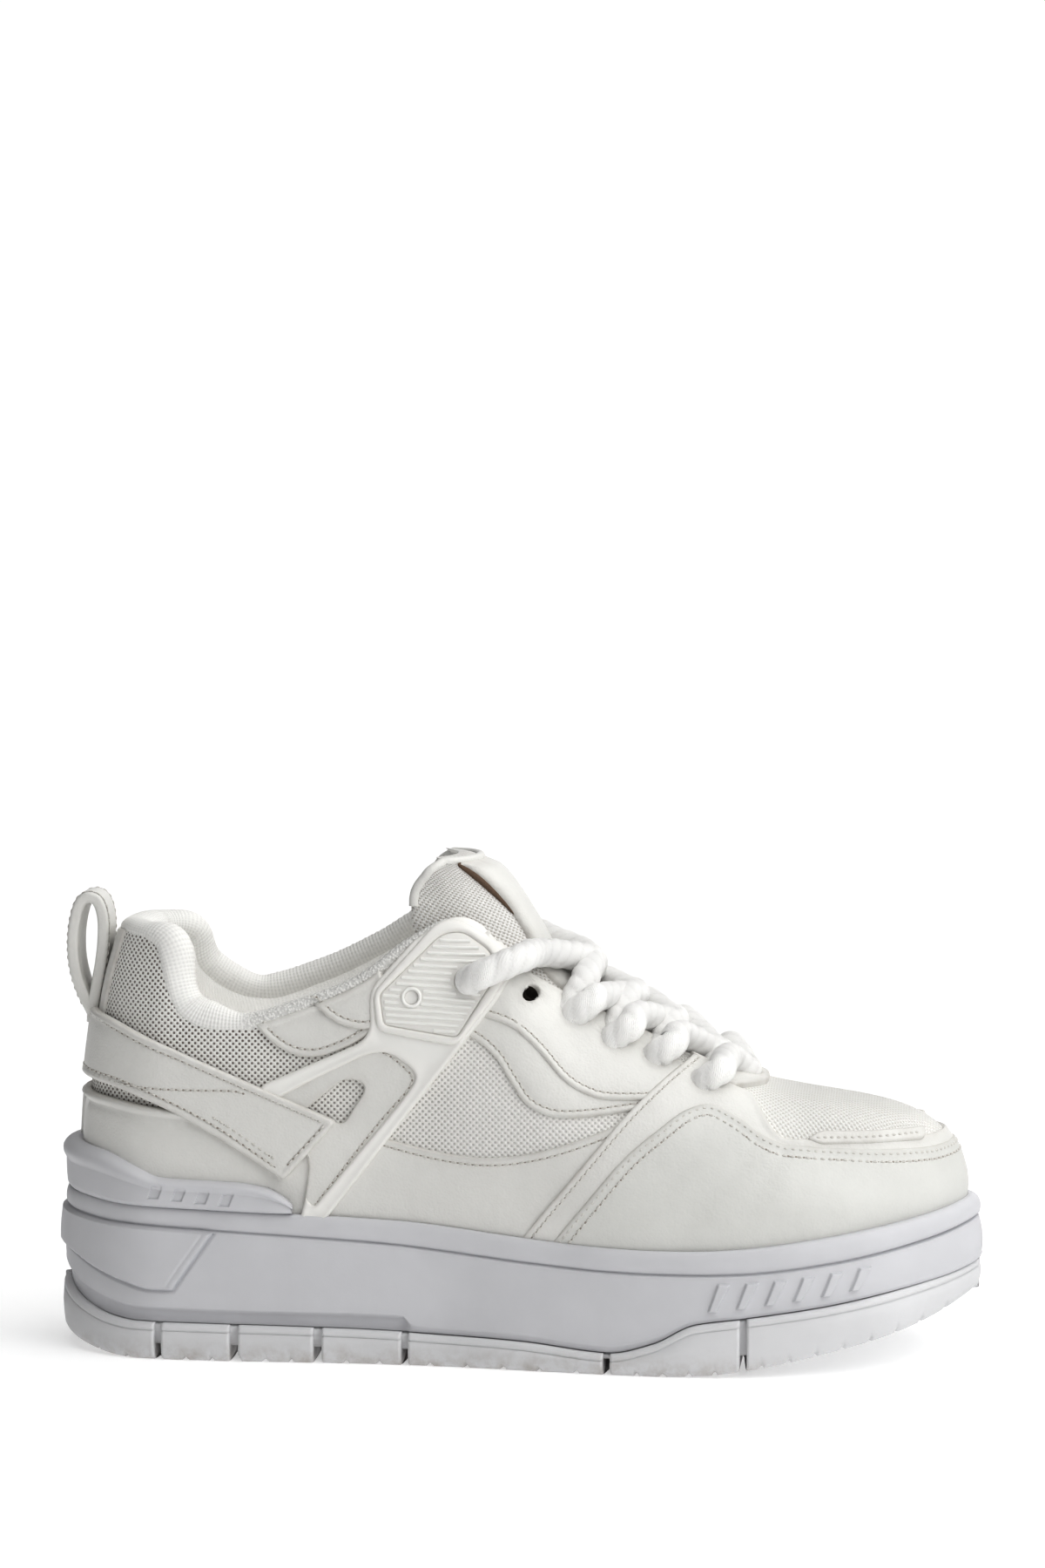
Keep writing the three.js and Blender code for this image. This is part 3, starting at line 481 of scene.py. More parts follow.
def mirrored(tv):
    """The same line on the medial side, run the other way so that its left stays its left."""
    return np.stack([1 - tv[:, 0], tv[:, 1]], 1)[::-1]


def stepped(point, tv, move):
    """Rows (a, b) after a short move in mm over a surface."""
    a, b = tv[:, 0], tv[:, 1]
    along_a, along_b = slopes(point, a, b)
    aa, ab, bb = dot(along_a, along_a), dot(along_a, along_b), dot(along_b, along_b)
    p, q = dot(along_a, move), dot(along_b, move)
    det = aa * bb - ab * ab
    return np.stack([a + (bb * p - ab * q) / det, b + (aa * q - ab * p) / det], 1)


def offset_line(point, tv, inset, closed=False):
    """The line moved to its left by inset mm over the surface."""
    p = point(tv[:, 0], tv[:, 1])
    if closed:
        run = np.roll(p, -1, 0) - np.roll(p, 1, 0)
    else:
        run = np.gradient(p, axis=0)
    left = unit(np.cross(unit(np.cross(*slopes(point, tv[:, 0], tv[:, 1]))), run))
    return stepped(point, tv, left * np.reshape(inset, (-1, 1)))


def inside(points, loop):
    """Which points lie inside a closed loop, by the number of its edges to their right."""
    x, y = points[:, None, 0], points[:, None, 1]
    x0, y0 = loop[:, 0], loop[:, 1]
    x1, y1 = np.roll(x0, -1), np.roll(y0, -1)
    spans = (y0 > y) != (y1 > y)
    cross = x0 + (y - y0) * (x1 - x0) / np.where(y1 == y0, 1e-12, y1 - y0)
    return (spans & (x < cross)).sum(1) % 2 == 1


def area(loop):
    x, y = loop[:, 0], loop[:, 1]
    return (x * np.roll(y, -1) - np.roll(x, -1) * y).sum() / 2


def nearest(points, samples):
    """Distance from each point to the nearest sample."""
    best = np.full(len(points), np.inf)
    for start in range(0, len(samples), 256):
        part = samples[start : start + 256]
        d2 = (points**2).sum(1)[:, None] + (part**2).sum(1)[None] - 2 * points @ part.T
        best = np.minimum(best, d2.min(1))
    return np.sqrt(np.maximum(best, 0))


def edge_profile(lift, radius=0.45, bead=0.0, bead_at=1.0, bead_width=0.6, channel=0.0, channel_at=2.3):
    """Height of a panel's face at d mm from its edge: rounded, with a bead and a stitch channel."""

    def height(d):
        near = 1 - np.minimum(d, radius) / radius
        h = lift - radius * (1 - np.sqrt(np.clip(1 - near**2, 0, 1)))
        h = h + bead * np.exp(-(((d - bead_at) / bead_width) ** 2))
        return h - channel * np.exp(-(((d - channel_at) / 0.5) ** 2))

    return height


def rim_fade(point):
    """Panels thin out where they go down inside the midsole's rim."""
    rim = level("rim", point[..., 0])
    return 0.3 + 0.7 * smoothstep(rim - 2, rim + 8, point[..., 2])


def panel(surface, outline, height, holes=(), spacing=0.9, insets=(0.15, 0.45, 0.9, 1.5, 2.3, 3.1),
          mesh=2.6, base=-0.4, fade=None):
    """Points, faces and marks of a sheet that lies on a surface, inside a closed outline.

    surface(a, b, out) gives points, outline and holes are rows (a, b), height(d) the face's height
    at d mm from the nearest edge, fade a factor on the height."""
    loops = []
    for i, loop in enumerate([outline, *holes]):
        loop = np.asarray(loop, float)
        loop = even(loop, spacing, True, surface(loop[:, 0], loop[:, 1]))
        if (area(loop) < 0) != (i > 0):
            loop = loop[::-1]
        loops.append(loop)
    edge_rows = np.concatenate(loops)
    fine = np.concatenate([even(surface(l[:, 0], l[:, 1]), 0.3, True) for l in loops])
    rows = [edge_rows]
    for inset in insets:
        for loop in loops:
            moved = offset_line(surface, loop, inset, closed=True)
            far = nearest(surface(moved[:, 0], moved[:, 1]), fine)
            good = (far > 0.93 * inset) & (moved[:, 1] > 0) & (moved[:, 1] < 1)
            rows.append(moved[good])
    along_a, along_b = slopes(surface, edge_rows[:, 0], edge_rows[:, 1])
    scale = np.array([np.linalg.norm(s, axis=1).mean() for s in (along_a, along_b)])
    low, high = edge_rows.min(0), edge_rows.max(0)
    counts = np.maximum(((high - low) * scale / mesh).astype(int), 1)
    a, b = np.meshgrid(*(np.linspace(low[k], high[k], counts[k] + 2)[1:-1] for k in (0, 1)))
    inner = np.stack([a.ravel(), b.ravel()], 1)
    keep = inside(inner, loops[0])
    for loop in loops[1:]:
        keep &= ~inside(inner, loop)
    inner = inner[keep]
    if len(inner):
        clear = nearest(surface(inner[:, 0], inner[:, 1]), fine) > insets[-1] + 0.35 * mesh
        inner = inner[clear]
    rows = np.concatenate([*rows, inner])
    edges, start = [], 0
    for loop in loops:
        n = len(loop)
        edges += [(start + i, start + (i + 1) % n) for i in range(n)]
        start += n
    cut = delaunay_2d_cdt([Vector(p) for p in rows * scale], edges, [], 0, 1e-5)
    flat = np.array([p[:] for p in cut[0]])
    triangles = np.array([f for f in cut[2] if len(f) == 3])
    middle = flat[triangles].mean(1)
    keep = inside(middle, loops[0] * scale)
    for loop in loops[1:]:
        keep &= ~inside(middle, loop * scale)
    triangles = triangles[keep]
    tv = flat / scale
    made_of = {source: i for i, sources in enumerate(cut[3]) for source in sources}
    ring = [[made_of[i] for i in pair] for pair in edges]
    bare = surface(tv[:, 0], tv[:, 1])
    d = nearest(bare, fine)
    d[np.unique(ring)] = 0
    h = height(d)
    if fade is not None:
        h = h * fade(bare)
    top = surface(tv[:, 0], tv[:, 1], h)
    below = surface(tv[:, 0], tv[:, 1], np.full(len(tv), base))
    n = len(tv)
    walls = [(j, i, i + n, j + n) for i, j in ring]
    points = np.concatenate([top, below])
    used = np.zeros(len(points), bool)
    faces = [triangles, np.array(walls)]
    for f in faces:
        used[f.ravel()] = True
    number = np.cumsum(used) - 1
    faces = [number[f] for f in faces]
    outward = np.concatenate([top - below, top - below])[used]
    marks = {"edge": np.concatenate([np.exp(-d / 1.2), np.ones(n)])[used]}
    return {"points": points[used], "faces": faces, "outward": outward, "marks": marks}


def join(pieces):
    """Several pieces' arrays as one."""
    points, quads, triangles, outward, edge, start = [], [], [], [], [], 0
    for piece in pieces:
        for f in piece["faces"]:
            (quads if f.shape[1] == 4 else triangles).append(f + start)
        points.append(piece["points"])
        outward.append(piece["outward"])
        edge.append(piece["marks"]["edge"])
        start += len(piece["points"])
    faces = [np.concatenate(g) for g in (triangles, quads) if g]
    return {"points": np.concatenate(points), "faces": faces, "outward": np.concatenate(outward),
            "marks": {"edge": np.concatenate(edge)}}


def show(name, piece, material):
    return make(name, piece["points"], piece["faces"], material, outward=piece["outward"],
                marks=piece["marks"])


# ---------------------------------------------------------------- materials
class Shade:
    """A material's node tree, built with short calls."""

    def __init__(self, name):
        self.material = bpy.data.materials.new(name)
        self.material.use_nodes = True
        self.tree = self.material.node_tree
        self.tree.nodes.clear()
        output = self.tree.nodes.new("ShaderNodeOutputMaterial")
        self.shader = self.tree.nodes.new("ShaderNodeBsdfPrincipled")
        self.tree.links.new(self.shader.outputs[0], output.inputs[0])

    def set(self, socket, value):
        if isinstance(value, bpy.types.Node):
            value = value.outputs[0]
        if isinstance(value, bpy.types.NodeSocket):
            self.tree.links.new(value, socket)
        else:
            socket.default_value = value

    def node(self, kind, inputs=(), **settings):
        made = self.tree.nodes.new("ShaderNode" + kind)
        for name, value in settings.items():
            setattr(made, name, value)
        for name, value in dict(inputs).items():
            self.set(made.inputs[name], value)
        return made

    def math(self, operation, a, b=0.0, c=0.0):
        return self.node("Math", {0: a, 1: b, 2: c}, operation=operation).outputs[0]

    def mix(self, factor, a, b):
        made = self.node("Mix", {0: factor, 6: a, 7: b}, data_type="RGBA")
        return made.outputs[2]

    def ramp(self, value, low, high, to_low=0.0, to_high=1.0):
        inputs = {0: value, 1: low, 2: high, 3: to_low, 4: to_high}
        return self.node("MapRange", inputs).outputs[0]

    def place(self):
        return self.node("TexCoord").outputs["Object"]

    def noise(self, size, detail=3.0, rough=0.55):
        """Noise whose blobs are about size mm across."""
        inputs = {"Vector": self.place(), "Scale": 1 / (size * MM), "Detail": detail}
        return self.node("TexNoise", {**inputs, "Roughness": rough}).outputs[0]

    def cells(self, size, feature="F1"):
        inputs = {"Vector": self.place(), "Scale": 1 / (size * MM)}
        return self.node("TexVoronoi", inputs, feature=feature).outputs[0]

    def mark(self, name):
        return self.node("Attribute", attribute_name=name).outputs["Fac"]

    def uv(self):
        """The two mm coordinates of the piece's own map."""
        split = self.node("SeparateXYZ", {0: self.node("UVMap", uv_map="mm").outputs[0]})
        return split.outputs[0], split.outputs[1]

    def wave(self, value, pitch, phase=0.0):
        """A wave from -1 to 1 along a mm coordinate."""
        return self.math("COSINE", self.math("MULTIPLY_ADD", value, 2 * math.pi / pitch, phase))

    def bump(self, height, depth, under=None):
        """A bump of depth mm for a height from 0 to 1."""
        inputs = {"Height": height, "Distance": depth * MM, "Strength": 1.0}
        if under is not None:
            inputs["Normal"] = under
        return self.node("Bump", inputs).outputs[0]

    def finish(self, color, roughness, normal=None, **plain):
        self.set(self.shader.inputs["Base Color"], color)
        self.set(self.shader.inputs["Roughness"], roughness)
        if normal is not None:
            self.set(self.shader.inputs["Normal"], normal)
        for name, value in plain.items():
            self.set(self.shader.inputs[name.replace("_", " ")], value)
        return self.material


def rgb(r, g, b):
    return (r, g, b, 1.0)


def darker(tint, share):
    return rgb(*(c * share for c in tint))


SEAM_DIRT = rgb(0.46, 0.41, 0.36)


def leather(name, tint, grain=0.05, rough=0.42, dirt=0.34):
    s = Shade(name)
    mottled = s.mix(s.ramp(s.noise(26, 3), 0.36, 0.66), darker(tint, 0.955), rgb(*tint))
    speck = s.ramp(s.noise(1.1, 2), 0.3, 0.72)
    color = s.mix(s.math("MULTIPLY", speck, 0.12), mottled, darker(tint, 0.9))
    grime = s.math("MULTIPLY", s.mark("edge"), s.ramp(s.noise(5, 2), 0.35, 0.75, 0.25, 1.0))
    color = s.mix(s.math("MULTIPLY", grime, dirt), color, SEAM_DIRT)
    pebble = s.ramp(s.cells(0.75), 0.0, 0.75)
    fine = s.bump(pebble, grain)
    folds = s.bump(s.noise(7, 3), 0.28, fine)
    shine = s.ramp(s.noise(9, 2), 0.3, 0.7, rough - 0.04, rough + 0.07)
    return s.finish(color, shine, folds, Specular_IOR_Level=0.42)


def moulded(name, tint, grain=0.02, rough=0.4):
    s = Shade(name)
    color = s.mix(s.ramp(s.noise(20, 2), 0.35, 0.65), darker(tint, 0.965), rgb(*tint))
    color = s.mix(s.math("MULTIPLY", s.mark("edge"), 0.18), color, SEAM_DIRT)
    shine = s.ramp(s.noise(6, 2), 0.3, 0.7, rough - 0.03, rough + 0.06)
    return s.finish(color, shine, s.bump(s.noise(0.5, 2), grain), Specular_IOR_Level=0.45)


def woven(name, thread, hole, pitch=1.02, depth=0.34, contrast=1.0, front=0.66):
    """Open mesh: round holes on a lattice turned by 45 degrees, their dark colour painted shade of the
    inside, which fades towards the toe as painted light.
    """
    s = Shade(name)
    u, v = s.uv()
    wobble = s.math("MULTIPLY_ADD", s.noise(7, 1), 0.5, -0.25)
    lean, climb = s.math("ADD", s.math("ADD", u, v), wobble), s.math("SUBTRACT", u, v)
    step = pitch * math.sqrt(2)
    first, second = s.wave(lean, step), s.wave(climb, step)
    lattice = s.math("MULTIPLY", s.math("ADD", first, second), 0.5)
    open_here = s.ramp(lattice, 0.18, 0.56)
    forward = s.node("SeparateXYZ", {0: s.place()}).outputs[0]
    # Painted light: the holes' painted shade weakens towards the toe, down to the share front there.
    painted_light_fade = s.ramp(forward, -0.08, -0.01, 1.0, front)
    patchy = s.math("MULTIPLY", s.ramp(s.noise(16, 2), 0.3, 0.7, 0.78 * contrast, contrast), painted_light_fade)
    strand = s.wave(s.math("SUBTRACT", u, s.math("MULTIPLY", v, 0.5)), pitch * 0.36)
    bright = s.mix(s.ramp(strand, -1, 1, 0, 0.16), rgb(*thread), darker(thread, 0.8))
    color = s.mix(s.math("MULTIPLY", open_here, patchy), bright, rgb(*hole))
    height = s.math("SUBTRACT", 1.0, s.math("MULTIPLY_ADD", lattice, 0.5, 0.5))
    normal = s.bump(strand, 0.04, s.bump(height, depth))
    return s.finish(color, 0.85, normal, Specular_IOR_Level=0.2, Sheen_Weight=0.15)


def knitted(name, tint, painted_glow=0.0, pitch=1.15, depth=0.14):
    """Knit with fine ribs across its u, and a beaded band where its bead mark is 1, with painted shade in
    its hollows and between the beads, and a faint painted glow.
    """
    s = Shade(name)
    u, v = s.uv()
    ribs = s.wave(u, pitch)
    loops = s.wave(v, pitch * 0.8)
    knit = s.math("MULTIPLY_ADD", loops, 0.55, ribs)
    beads = s.math("MULTIPLY", s.math("SUBTRACT", 1.0, s.ramp(s.cells(0.85), 0.0, 0.7)), 2.2)
    bead = s.mark("bead")
    either = s.node("Mix", {0: bead, 2: s.ramp(knit, -1.3, 1.3), 3: beads}).outputs[0]
    # Painted shade: darker in the knit's hollows and in the gaps between beads.
    shade = s.ramp(either, 0.0, 0.6, 0.2, 0.0)
    shade = s.math("MULTIPLY_ADD", bead, s.ramp(beads, 0.2, 1.2, 0.2, 0.0), shade)
    color = s.mix(shade, rgb(*tint), darker(tint, 0.55))
    fuzz = s.bump(s.noise(0.35, 2), 0.05)
    # Painted light: the knit glows faintly though it is no lamp.
    return s.finish(color, 0.92, s.bump(either, depth, fuzz), Specular_IOR_Level=0.15,
                    Emission_Color=rgb(*tint), Emission_Strength=painted_glow)


def rubber(name, tint, low_dirt, rough=0.55):
    """Sole rubber or foam, with scuffs and dirt that thicken towards the floor, and painted shade where its
    groove mark is high.
    """
    s = Shade(name)
    color = s.mix(s.ramp(s.noise(24, 3), 0.35, 0.68), darker(tint, 0.955), rgb(*tint))
    height = s.node("SeparateXYZ", {0: s.place()}).outputs[2]
    low = s.ramp(height, 0.0075, 0.0, 0.0, 1.0)
    smear = s.ramp(s.noise(6, 5, 0.65), 0.4, 0.7)
    dirt = s.math("MULTIPLY", s.math("MULTIPLY", low, smear), low_dirt)
    color = s.mix(dirt, color, rgb(0.36, 0.31, 0.26))
    scuff = s.ramp(s.noise(2.2, 4, 0.7), 0.62, 0.76, 0.0, 0.1 * low_dirt)
    color = s.mix(scuff, color, rgb(0.5, 0.47, 0.44))
    # Painted shade: the groove mark darkens grooves, ledges, the rim's turn-in and the edges of raised and
    # sunk marks.
    groove = s.math("MULTIPLY", s.mark("groove"), 0.24)
    color = s.mix(groove, color, rgb(0.34, 0.34, 0.38))
    shine = s.ramp(s.noise(8, 2), 0.3, 0.7, rough - 0.05, rough + 0.08)
    fine = s.bump(s.noise(0.4, 2), 0.018)
    return s.finish(color, shine, s.bump(s.noise(3.2, 2), 0.04, fine), Specular_IOR_Level=0.4)


def rope(name, tint):
    """Twisted soft rope: fine yarns run round it, u being its turn and v its length in mm; its hollows carry
    painted shade and it glows faintly as painted light.
    """
    s = Shade(name)
    u, v = s.uv()
    yarn = s.wave(s.math("MULTIPLY_ADD", v, 0.9, u), 0.95)
    cross = s.wave(s.math("MULTIPLY_ADD", v, -1.4, u), 0.8)
    height = s.math("MULTIPLY_ADD", cross, 0.35, yarn)
    # Painted shade in the hollows between yarns, and along the grooves between strands where the groove mark
    # is high.
    shade = s.ramp(height, -1.2, 0.2, 0.12, 0.0)
    groove = s.math("MAXIMUM", shade, s.math("MULTIPLY", s.mark("groove"), 0.2))
    color = s.mix(groove, rgb(*tint), darker(tint, 0.55))
    fuzz = s.bump(s.noise(0.4, 3), 0.07)
    normal = s.bump(s.ramp(height, -1.3, 1.3), 0.12, fuzz)
    # Painted light: the rope glows faintly though it is no lamp.
    return s.finish(color, 0.95, normal, Specular_IOR_Level=0.12, Sheen_Weight=0.3,
                    Emission_Color=rgb(*tint), Emission_Strength=0.04)


def plain_thread(name, tint, rough=0.7):
    s = Shade(name)
    twist = s.ramp(s.noise(0.45, 1), 0.3, 0.7)
    color = s.mix(twist, darker(tint, 0.8), rgb(*tint))
    return s.finish(color, rough, s.bump(twist, 0.05), Specular_IOR_Level=0.25)


WHITE_LEATHER = (0.81, 0.805, 0.78)
LEATHER = leather("smooth leather", WHITE_LEATHER)
# The toe leather's tint is painted darker than the rest as painted shade, to hold back the strong light on
# the toe.
TOE_LEATHER_SHADED = leather("toe leather", (0.76, 0.76, 0.735), grain=0.03, rough=0.46)
MOULDED = moulded("moulded cage", (0.93, 0.925, 0.9))
# The side mesh's near-black holes are painted shade, and the tongue mesh's holes are painted paler as
# painted light on its shaded face.
MESH = woven("side mesh", (0.95, 0.94, 0.915), (0.17, 0.145, 0.125), pitch=1.36, front=0.32)
TOE_MESH = woven("toe mesh", (0.94, 0.935, 0.91), (0.74, 0.72, 0.68), pitch=1.15, contrast=0.85, front=1.0)
TONGUE_MESH = woven("tongue mesh", (0.96, 0.95, 0.93), (0.58, 0.55, 0.51), pitch=1.25, front=0.9)
# The collar and lining knits glow faintly as painted light, the lining more, to brighten the shoe's inside
# and the insole.
KNIT = knitted("collar knit", (0.87, 0.865, 0.845), painted_glow=0.04)
LINING = knitted("lining knit", (0.94, 0.935, 0.92), painted_glow=0.15)
ROPE = rope("twisted rope", (0.96, 0.955, 0.94))
FOAM = rubber("midsole foam", (0.705, 0.705, 0.722), 0.15)
TREAD = rubber("outsole rubber", (0.75, 0.75, 0.757), 0.5, rough=0.6)
THREAD = plain_thread("stitch thread", (0.76, 0.745, 0.71))
# Painted shade: dark discs between the stitches stand for the needle holes' shadows.
NEEDLE_HOLE_SHADE = plain_thread("needle hole shade", (0.47, 0.43, 0.39), rough=0.9)
# Painted shade: near-black for the insides of eyelets and small holes.
HOLE_SHADE = plain_thread("eyelet inside shade", (0.06, 0.05, 0.042), rough=0.95)
# Painted shade: dark brown for the gap along the tongue patch's edges.
TONGUE_GAP_SHADE = plain_thread("tongue gap shade", (0.22, 0.16, 0.12), rough=0.9)


# ---------------------------------------------------------------- the sole
def sole_ring(t, inset, z):
    point, n = plan_loop("sole", t)
    ring = point - n * np.asarray(inset)[..., None]
    ring[..., 2] = z
    return ring


def even_stations(spacing, low=0.0, high=1.0, fine=()):
    """Values of t about spacing mm apart on the sole's outline, closer where x is in a fine range."""
    t = np.linspace(low, high, 6000)
    ring = plan_loop("sole", t)[0]
    step = np.linalg.norm(np.diff(ring, axis=0), axis=1)
    middle = (ring[1:, 0] + ring[:-1, 0]) / 2
    for first, last, times in fine:
        step = np.where((middle > first) & (middle < last), step * times, step)
    along = np.concatenate([[0], np.cumsum(step)])
    count = max(int(round(along[-1] / spacing)), 2)
    return np.interp(np.linspace(0, along[-1], count + 1), along, t)


# Cross gaps of the tread: x and width.
TREAD_GAPS = [(34.5, 3), (58, 3.5), (83.5, 3.5), (110, 3), (171.5, 3), (212.5, 3)]
# Small notches along the tread's bottom edge: the first and last x of each run, and how many.
NOTCH_RUNS = [
    (14, 24, 2), (43, 51, 2), (59.5, 75.5, 3), (92, 102, 2), (117.5, 162, 5), (180.5, 204, 4), (218, 275, 8),
]
NOTCHES = np.concatenate([np.linspace(first, last, count) for first, last, count in NOTCH_RUNS])
GAP_DEPTH = 4.5


def crossing_t(x):
    """t at which the sole's lateral outline passes x."""
    t = np.linspace(0, 0.5, 3000)
    return np.interp(x, plan_loop("sole", t)[0][:, 0], t)


def notched(x, z, depth=0.9):
    far = np.abs(x[..., None] - NOTCHES).min(-1)
    return z + depth * (1 - smoothstep(0.35, 0.8, far))


def lug(low, high):
    """One block of the tread, from t = low to high across the whole shoe."""
    t = even_stations(0.55, low, high)
    t = np.concatenate([t[:1], t, t[-1:]])
    # Inset from the outline, share of the height, extra height; from the core out, down and under.
    profile = [
        (8, 1, -0.1), (4, 1, 0), (2.2, 1, 0), (1.3, 1, -0.15), (0.75, 1, -0.6), (0.5, 1, -1.3),
        (0.45, 1, -1.9), (0.8, 1, -2.15), (0.4, 1, -2.45), (0.1, 0.55, 0), (0.25, 0.3, 0.6),
        (0.55, 0, 2.0), (1.0, 0, 1.0), (1.5, 0, 0.35), (2.4, 0, 0), (9, 0, 0), (16, 0, 0.5), (17, 0, 1.6),
        (20, 0, 1.6), (21, 0, 0.4), (27, 0, 0.1),
    ]
    half = np.abs(plan_loop("sole", t)[0][:, 1])
    halves = []
    for side in (1, -1):
        around_t = t if side == 1 else 1 - t
        point, n = plan_loop("sole", around_t)
        x = point[:, 0]
        bottom, tread = level("bottom", x), level("tread", x)
        wide = np.minimum(half, np.abs(point[:, 1]))
        rows = []
        for inset, share, more in profile:
            tuck = 2.3 * smoothstep(250, 283, x)
            deep = np.minimum(inset, np.maximum(wide - 0.5, 0.4))
            z = bottom + (tread - bottom) * share + more
            if share == 0 and more < 1.2:
                z = notched(x, z)
            ring = point - n * deep[:, None]
            ring[:, 0] -= tuck
            ring[:, 2] = z
            rows.append(ring)
        halves.append(np.stack(rows))
    loop = np.concatenate([halves[0], halves[1][::-1]])
    centre = loop.mean(0, keepdims=True)
    # Both ends are bevelled and closed.
    for end, inner in ((0, 1), (-1, -2)):
        run = loop[:, inner] - loop[:, inner + (1 if end == 0 else -1)]
        pull = centre[:, inner] - loop[:, inner]
        loop[:, end] = loop[:, inner] + unit(pull) * 0.7 + unit(run) * 0.45
    rings = loop.transpose(1, 0, 2)
    return rings.reshape(-1, 3), stacked(rings, np.arange(len(loop)))[:, ::-1]


def outsole():
    cuts = [(crossing_t(x - w / 2), crossing_t(x + w / 2)) for x, w in TREAD_GAPS]
    starts = [0.0003, *(c[1] for c in cuts)]
    ends = [*(c[0] for c in cuts), 0.4997]
    parts = [lug(low, high) for low, high in zip(starts, ends)]
    # The core fills the tread between its gaps.
    t = even_stations(2.0)[:-1]
    x = plan_loop("sole", t)[0][:, 0]
    bottom, tread = level("bottom", x) + GAP_DEPTH, level("tread", x)
    insets = (12, 4.2, 3.4, 3.4, 4.2, 12)
    heights = (bottom, bottom, bottom + 1, np.maximum(tread - 0.8, bottom + 1.2),
               *[np.maximum(tread - 0.2, bottom + 1.6)] * 2)
    rings = [sole_ring(t, inset + 0 * t, z) for inset, z in zip(insets, heights)]
    return merged([*parts, (np.concatenate(rings), stacked(rings, np.arange(1, len(t))))])


def strip_mask(x, z, corners, soft=0.45):
    """1 inside a convex outline on the side elevation, 0 outside, with a soft edge."""
    corners = np.array(corners, float)
    if area(corners) < 0:
        corners = corners[::-1]
    least = np.full(x.shape, np.inf)
    for a, b in zip(corners, np.roll(corners, -1, 0)):
        run = (b - a) / np.linalg.norm(b - a)
        least = np.minimum(least, run[0] * (z - a[1]) - run[1] * (x - a[0]))
    return smoothstep(-soft, soft, least)


TICKS, TICK_START, TICK_PITCH = 6, 205, 8.5


def tick(k):
    """Corners of one slanted tick near the toe, between the groove and the wall's foot."""
    x = TICK_START + k * TICK_PITCH
    top, foot = level("groove", x) - 2.6, level("wall", x) + 1.9
    return (x, top), (x + 3.4, top), (x - 0.6, foot), (x - 2.9, foot)


# The heel's raised side panel: its front edge leans back from its top corner to its foot.
HEEL_PANEL_FRONT = ((53, 41.5), (39, 21.5))
HEEL_PANEL_FOOT = table("x z", [(2, 32), (7, 30), (13, 27), (23, 23.5), (33, 21.5), (60, 21.5)])


def heel_panel(x, z):
    """Height and shadow of the raised panel at the heel."""
    (x0, z0), (x1, z1) = HEEL_PANEL_FRONT
    run = np.array([x1 - x0, z1 - z0]) / math.hypot(x1 - x0, z1 - z0)
    behind = run[1] * (x - x0) - run[0] * (z - z0)
    above = z - monotone(HEEL_PANEL_FOOT["x"], HEEL_PANEL_FOOT["z"], x)
    d = np.minimum(behind, above)
    height = 1.5 * smoothstep(-0.25, 0.45, d) - 0.5 * np.exp(-(((d + 0.5) / 0.45) ** 2))
    height = height - 0.22 * np.exp(-(((behind - 2.1) / 0.35) ** 2)) * (above > 1)
    shadow = 1.6 * np.exp(-(((d + 0.3) / 0.38) ** 2))
    return height, shadow


SOLE_LINES = ("tread", "wall", "groove", "rim", "wallIn", "rimIn")


def midsole():
    t = even_stations(1.05, fine=((37, 56, 3), (199, 253, 3.4)))[:-1]
    x = plan_loop("sole", t)[0][:, 0]
    tread, wall, groove, rim, wall_in, rim_in = (level(c, x) for c in SOLE_LINES)
    rows, marks = [], []

    # A row's shadow is painted shade on the foam; ticks and the heel panel add painted shade along their
    # edges.
    def row(inset, z, shadow=0.0, relief_too=False):
        extra, shade = np.zeros(len(x)), np.full(len(x), float(shadow))
        if relief_too:
            for k in range(TICKS):
                mask = strip_mask(x, z, tick(k), 0.22)
                extra += 1.2 * mask
                shade = np.maximum(shade, 2.4 * mask * (1 - mask))
            high, dark = heel_panel(x, z)
            extra += high
            shade = np.maximum(shade, dark)
        rows.append(sole_ring(t, inset - extra, z))
        marks.append(shade)

    row(9, tread + 0.15)
    row(3.2, tread + 0.2, 0.2)
    ledge = 0.5 + 1.3 * (1 - smoothstep(109, 112, x))
    row(wall_in + ledge, tread + 0.35, 0.3)
    row(wall_in + ledge, wall - 0.8, 0.3)
    row(wall_in + 0.6 * ledge, wall - 0.35, 0.2)
    row(wall_in + 0.1, wall + 0.15)
    lean = rim_in - wall_in
    for share in np.linspace(0, 1, 56):
        bow = 0.35 * math.sin(math.pi * share)
        z = (wall + 0.6) * (1 - share) + (groove - 1.0) * share
        slant = 0.3 * share**2
        row(wall_in + 0.2 + lean * slant - bow, z, 0, True)
    # The groove under the rim: the darker rows in its depth are painted shade.
    for inset, dz, dark in (
        (0.36, -0.75, 0.1), (0.44, -0.5, 0.4), (0.6, -0.3, 0.9), (0.76, 0, 1), (0.6, 0.3, 0.9),
        (0.42, 0.5, 0.5), (0.3, 0.8, 0.1),
    ):
        row(wall_in + lean * inset, groove + dz, dark)
    for share, inset in (
        (0.25, 0.24), (0.45, 0.26), (0.65, 0.36), (0.8, 0.5), (0.9, 0.66), (0.97, 0.84), (1, 1.05),
        (1.0, 1.35),
    ):
        z = groove + 0.6 + (rim - groove - 0.6) * share
        row(wall_in + lean * inset, z)
    # The top turns in and goes down along the upper; these rows and the bed are dark with painted shade.
    for drop, out, dark in ((0.5, 0.2, 0.7), (2.5, 0.1, 1.0), (6.5, 0.1, 1.0)):
        z = rim - drop
        rows.append(at_height(t, z, out))
        marks.append(np.full(len(x), dark))
    bed = plan_loop("foot", t)[0]
    bed[:, 2] = level("rim", bed[:, 0]) - CUP_DEPTH
    rows.append(bed)
    marks.append(np.ones(len(x)))
    return np.concatenate(rows), [stacked(rows, np.arange(1, len(t)))], np.concatenate(marks)


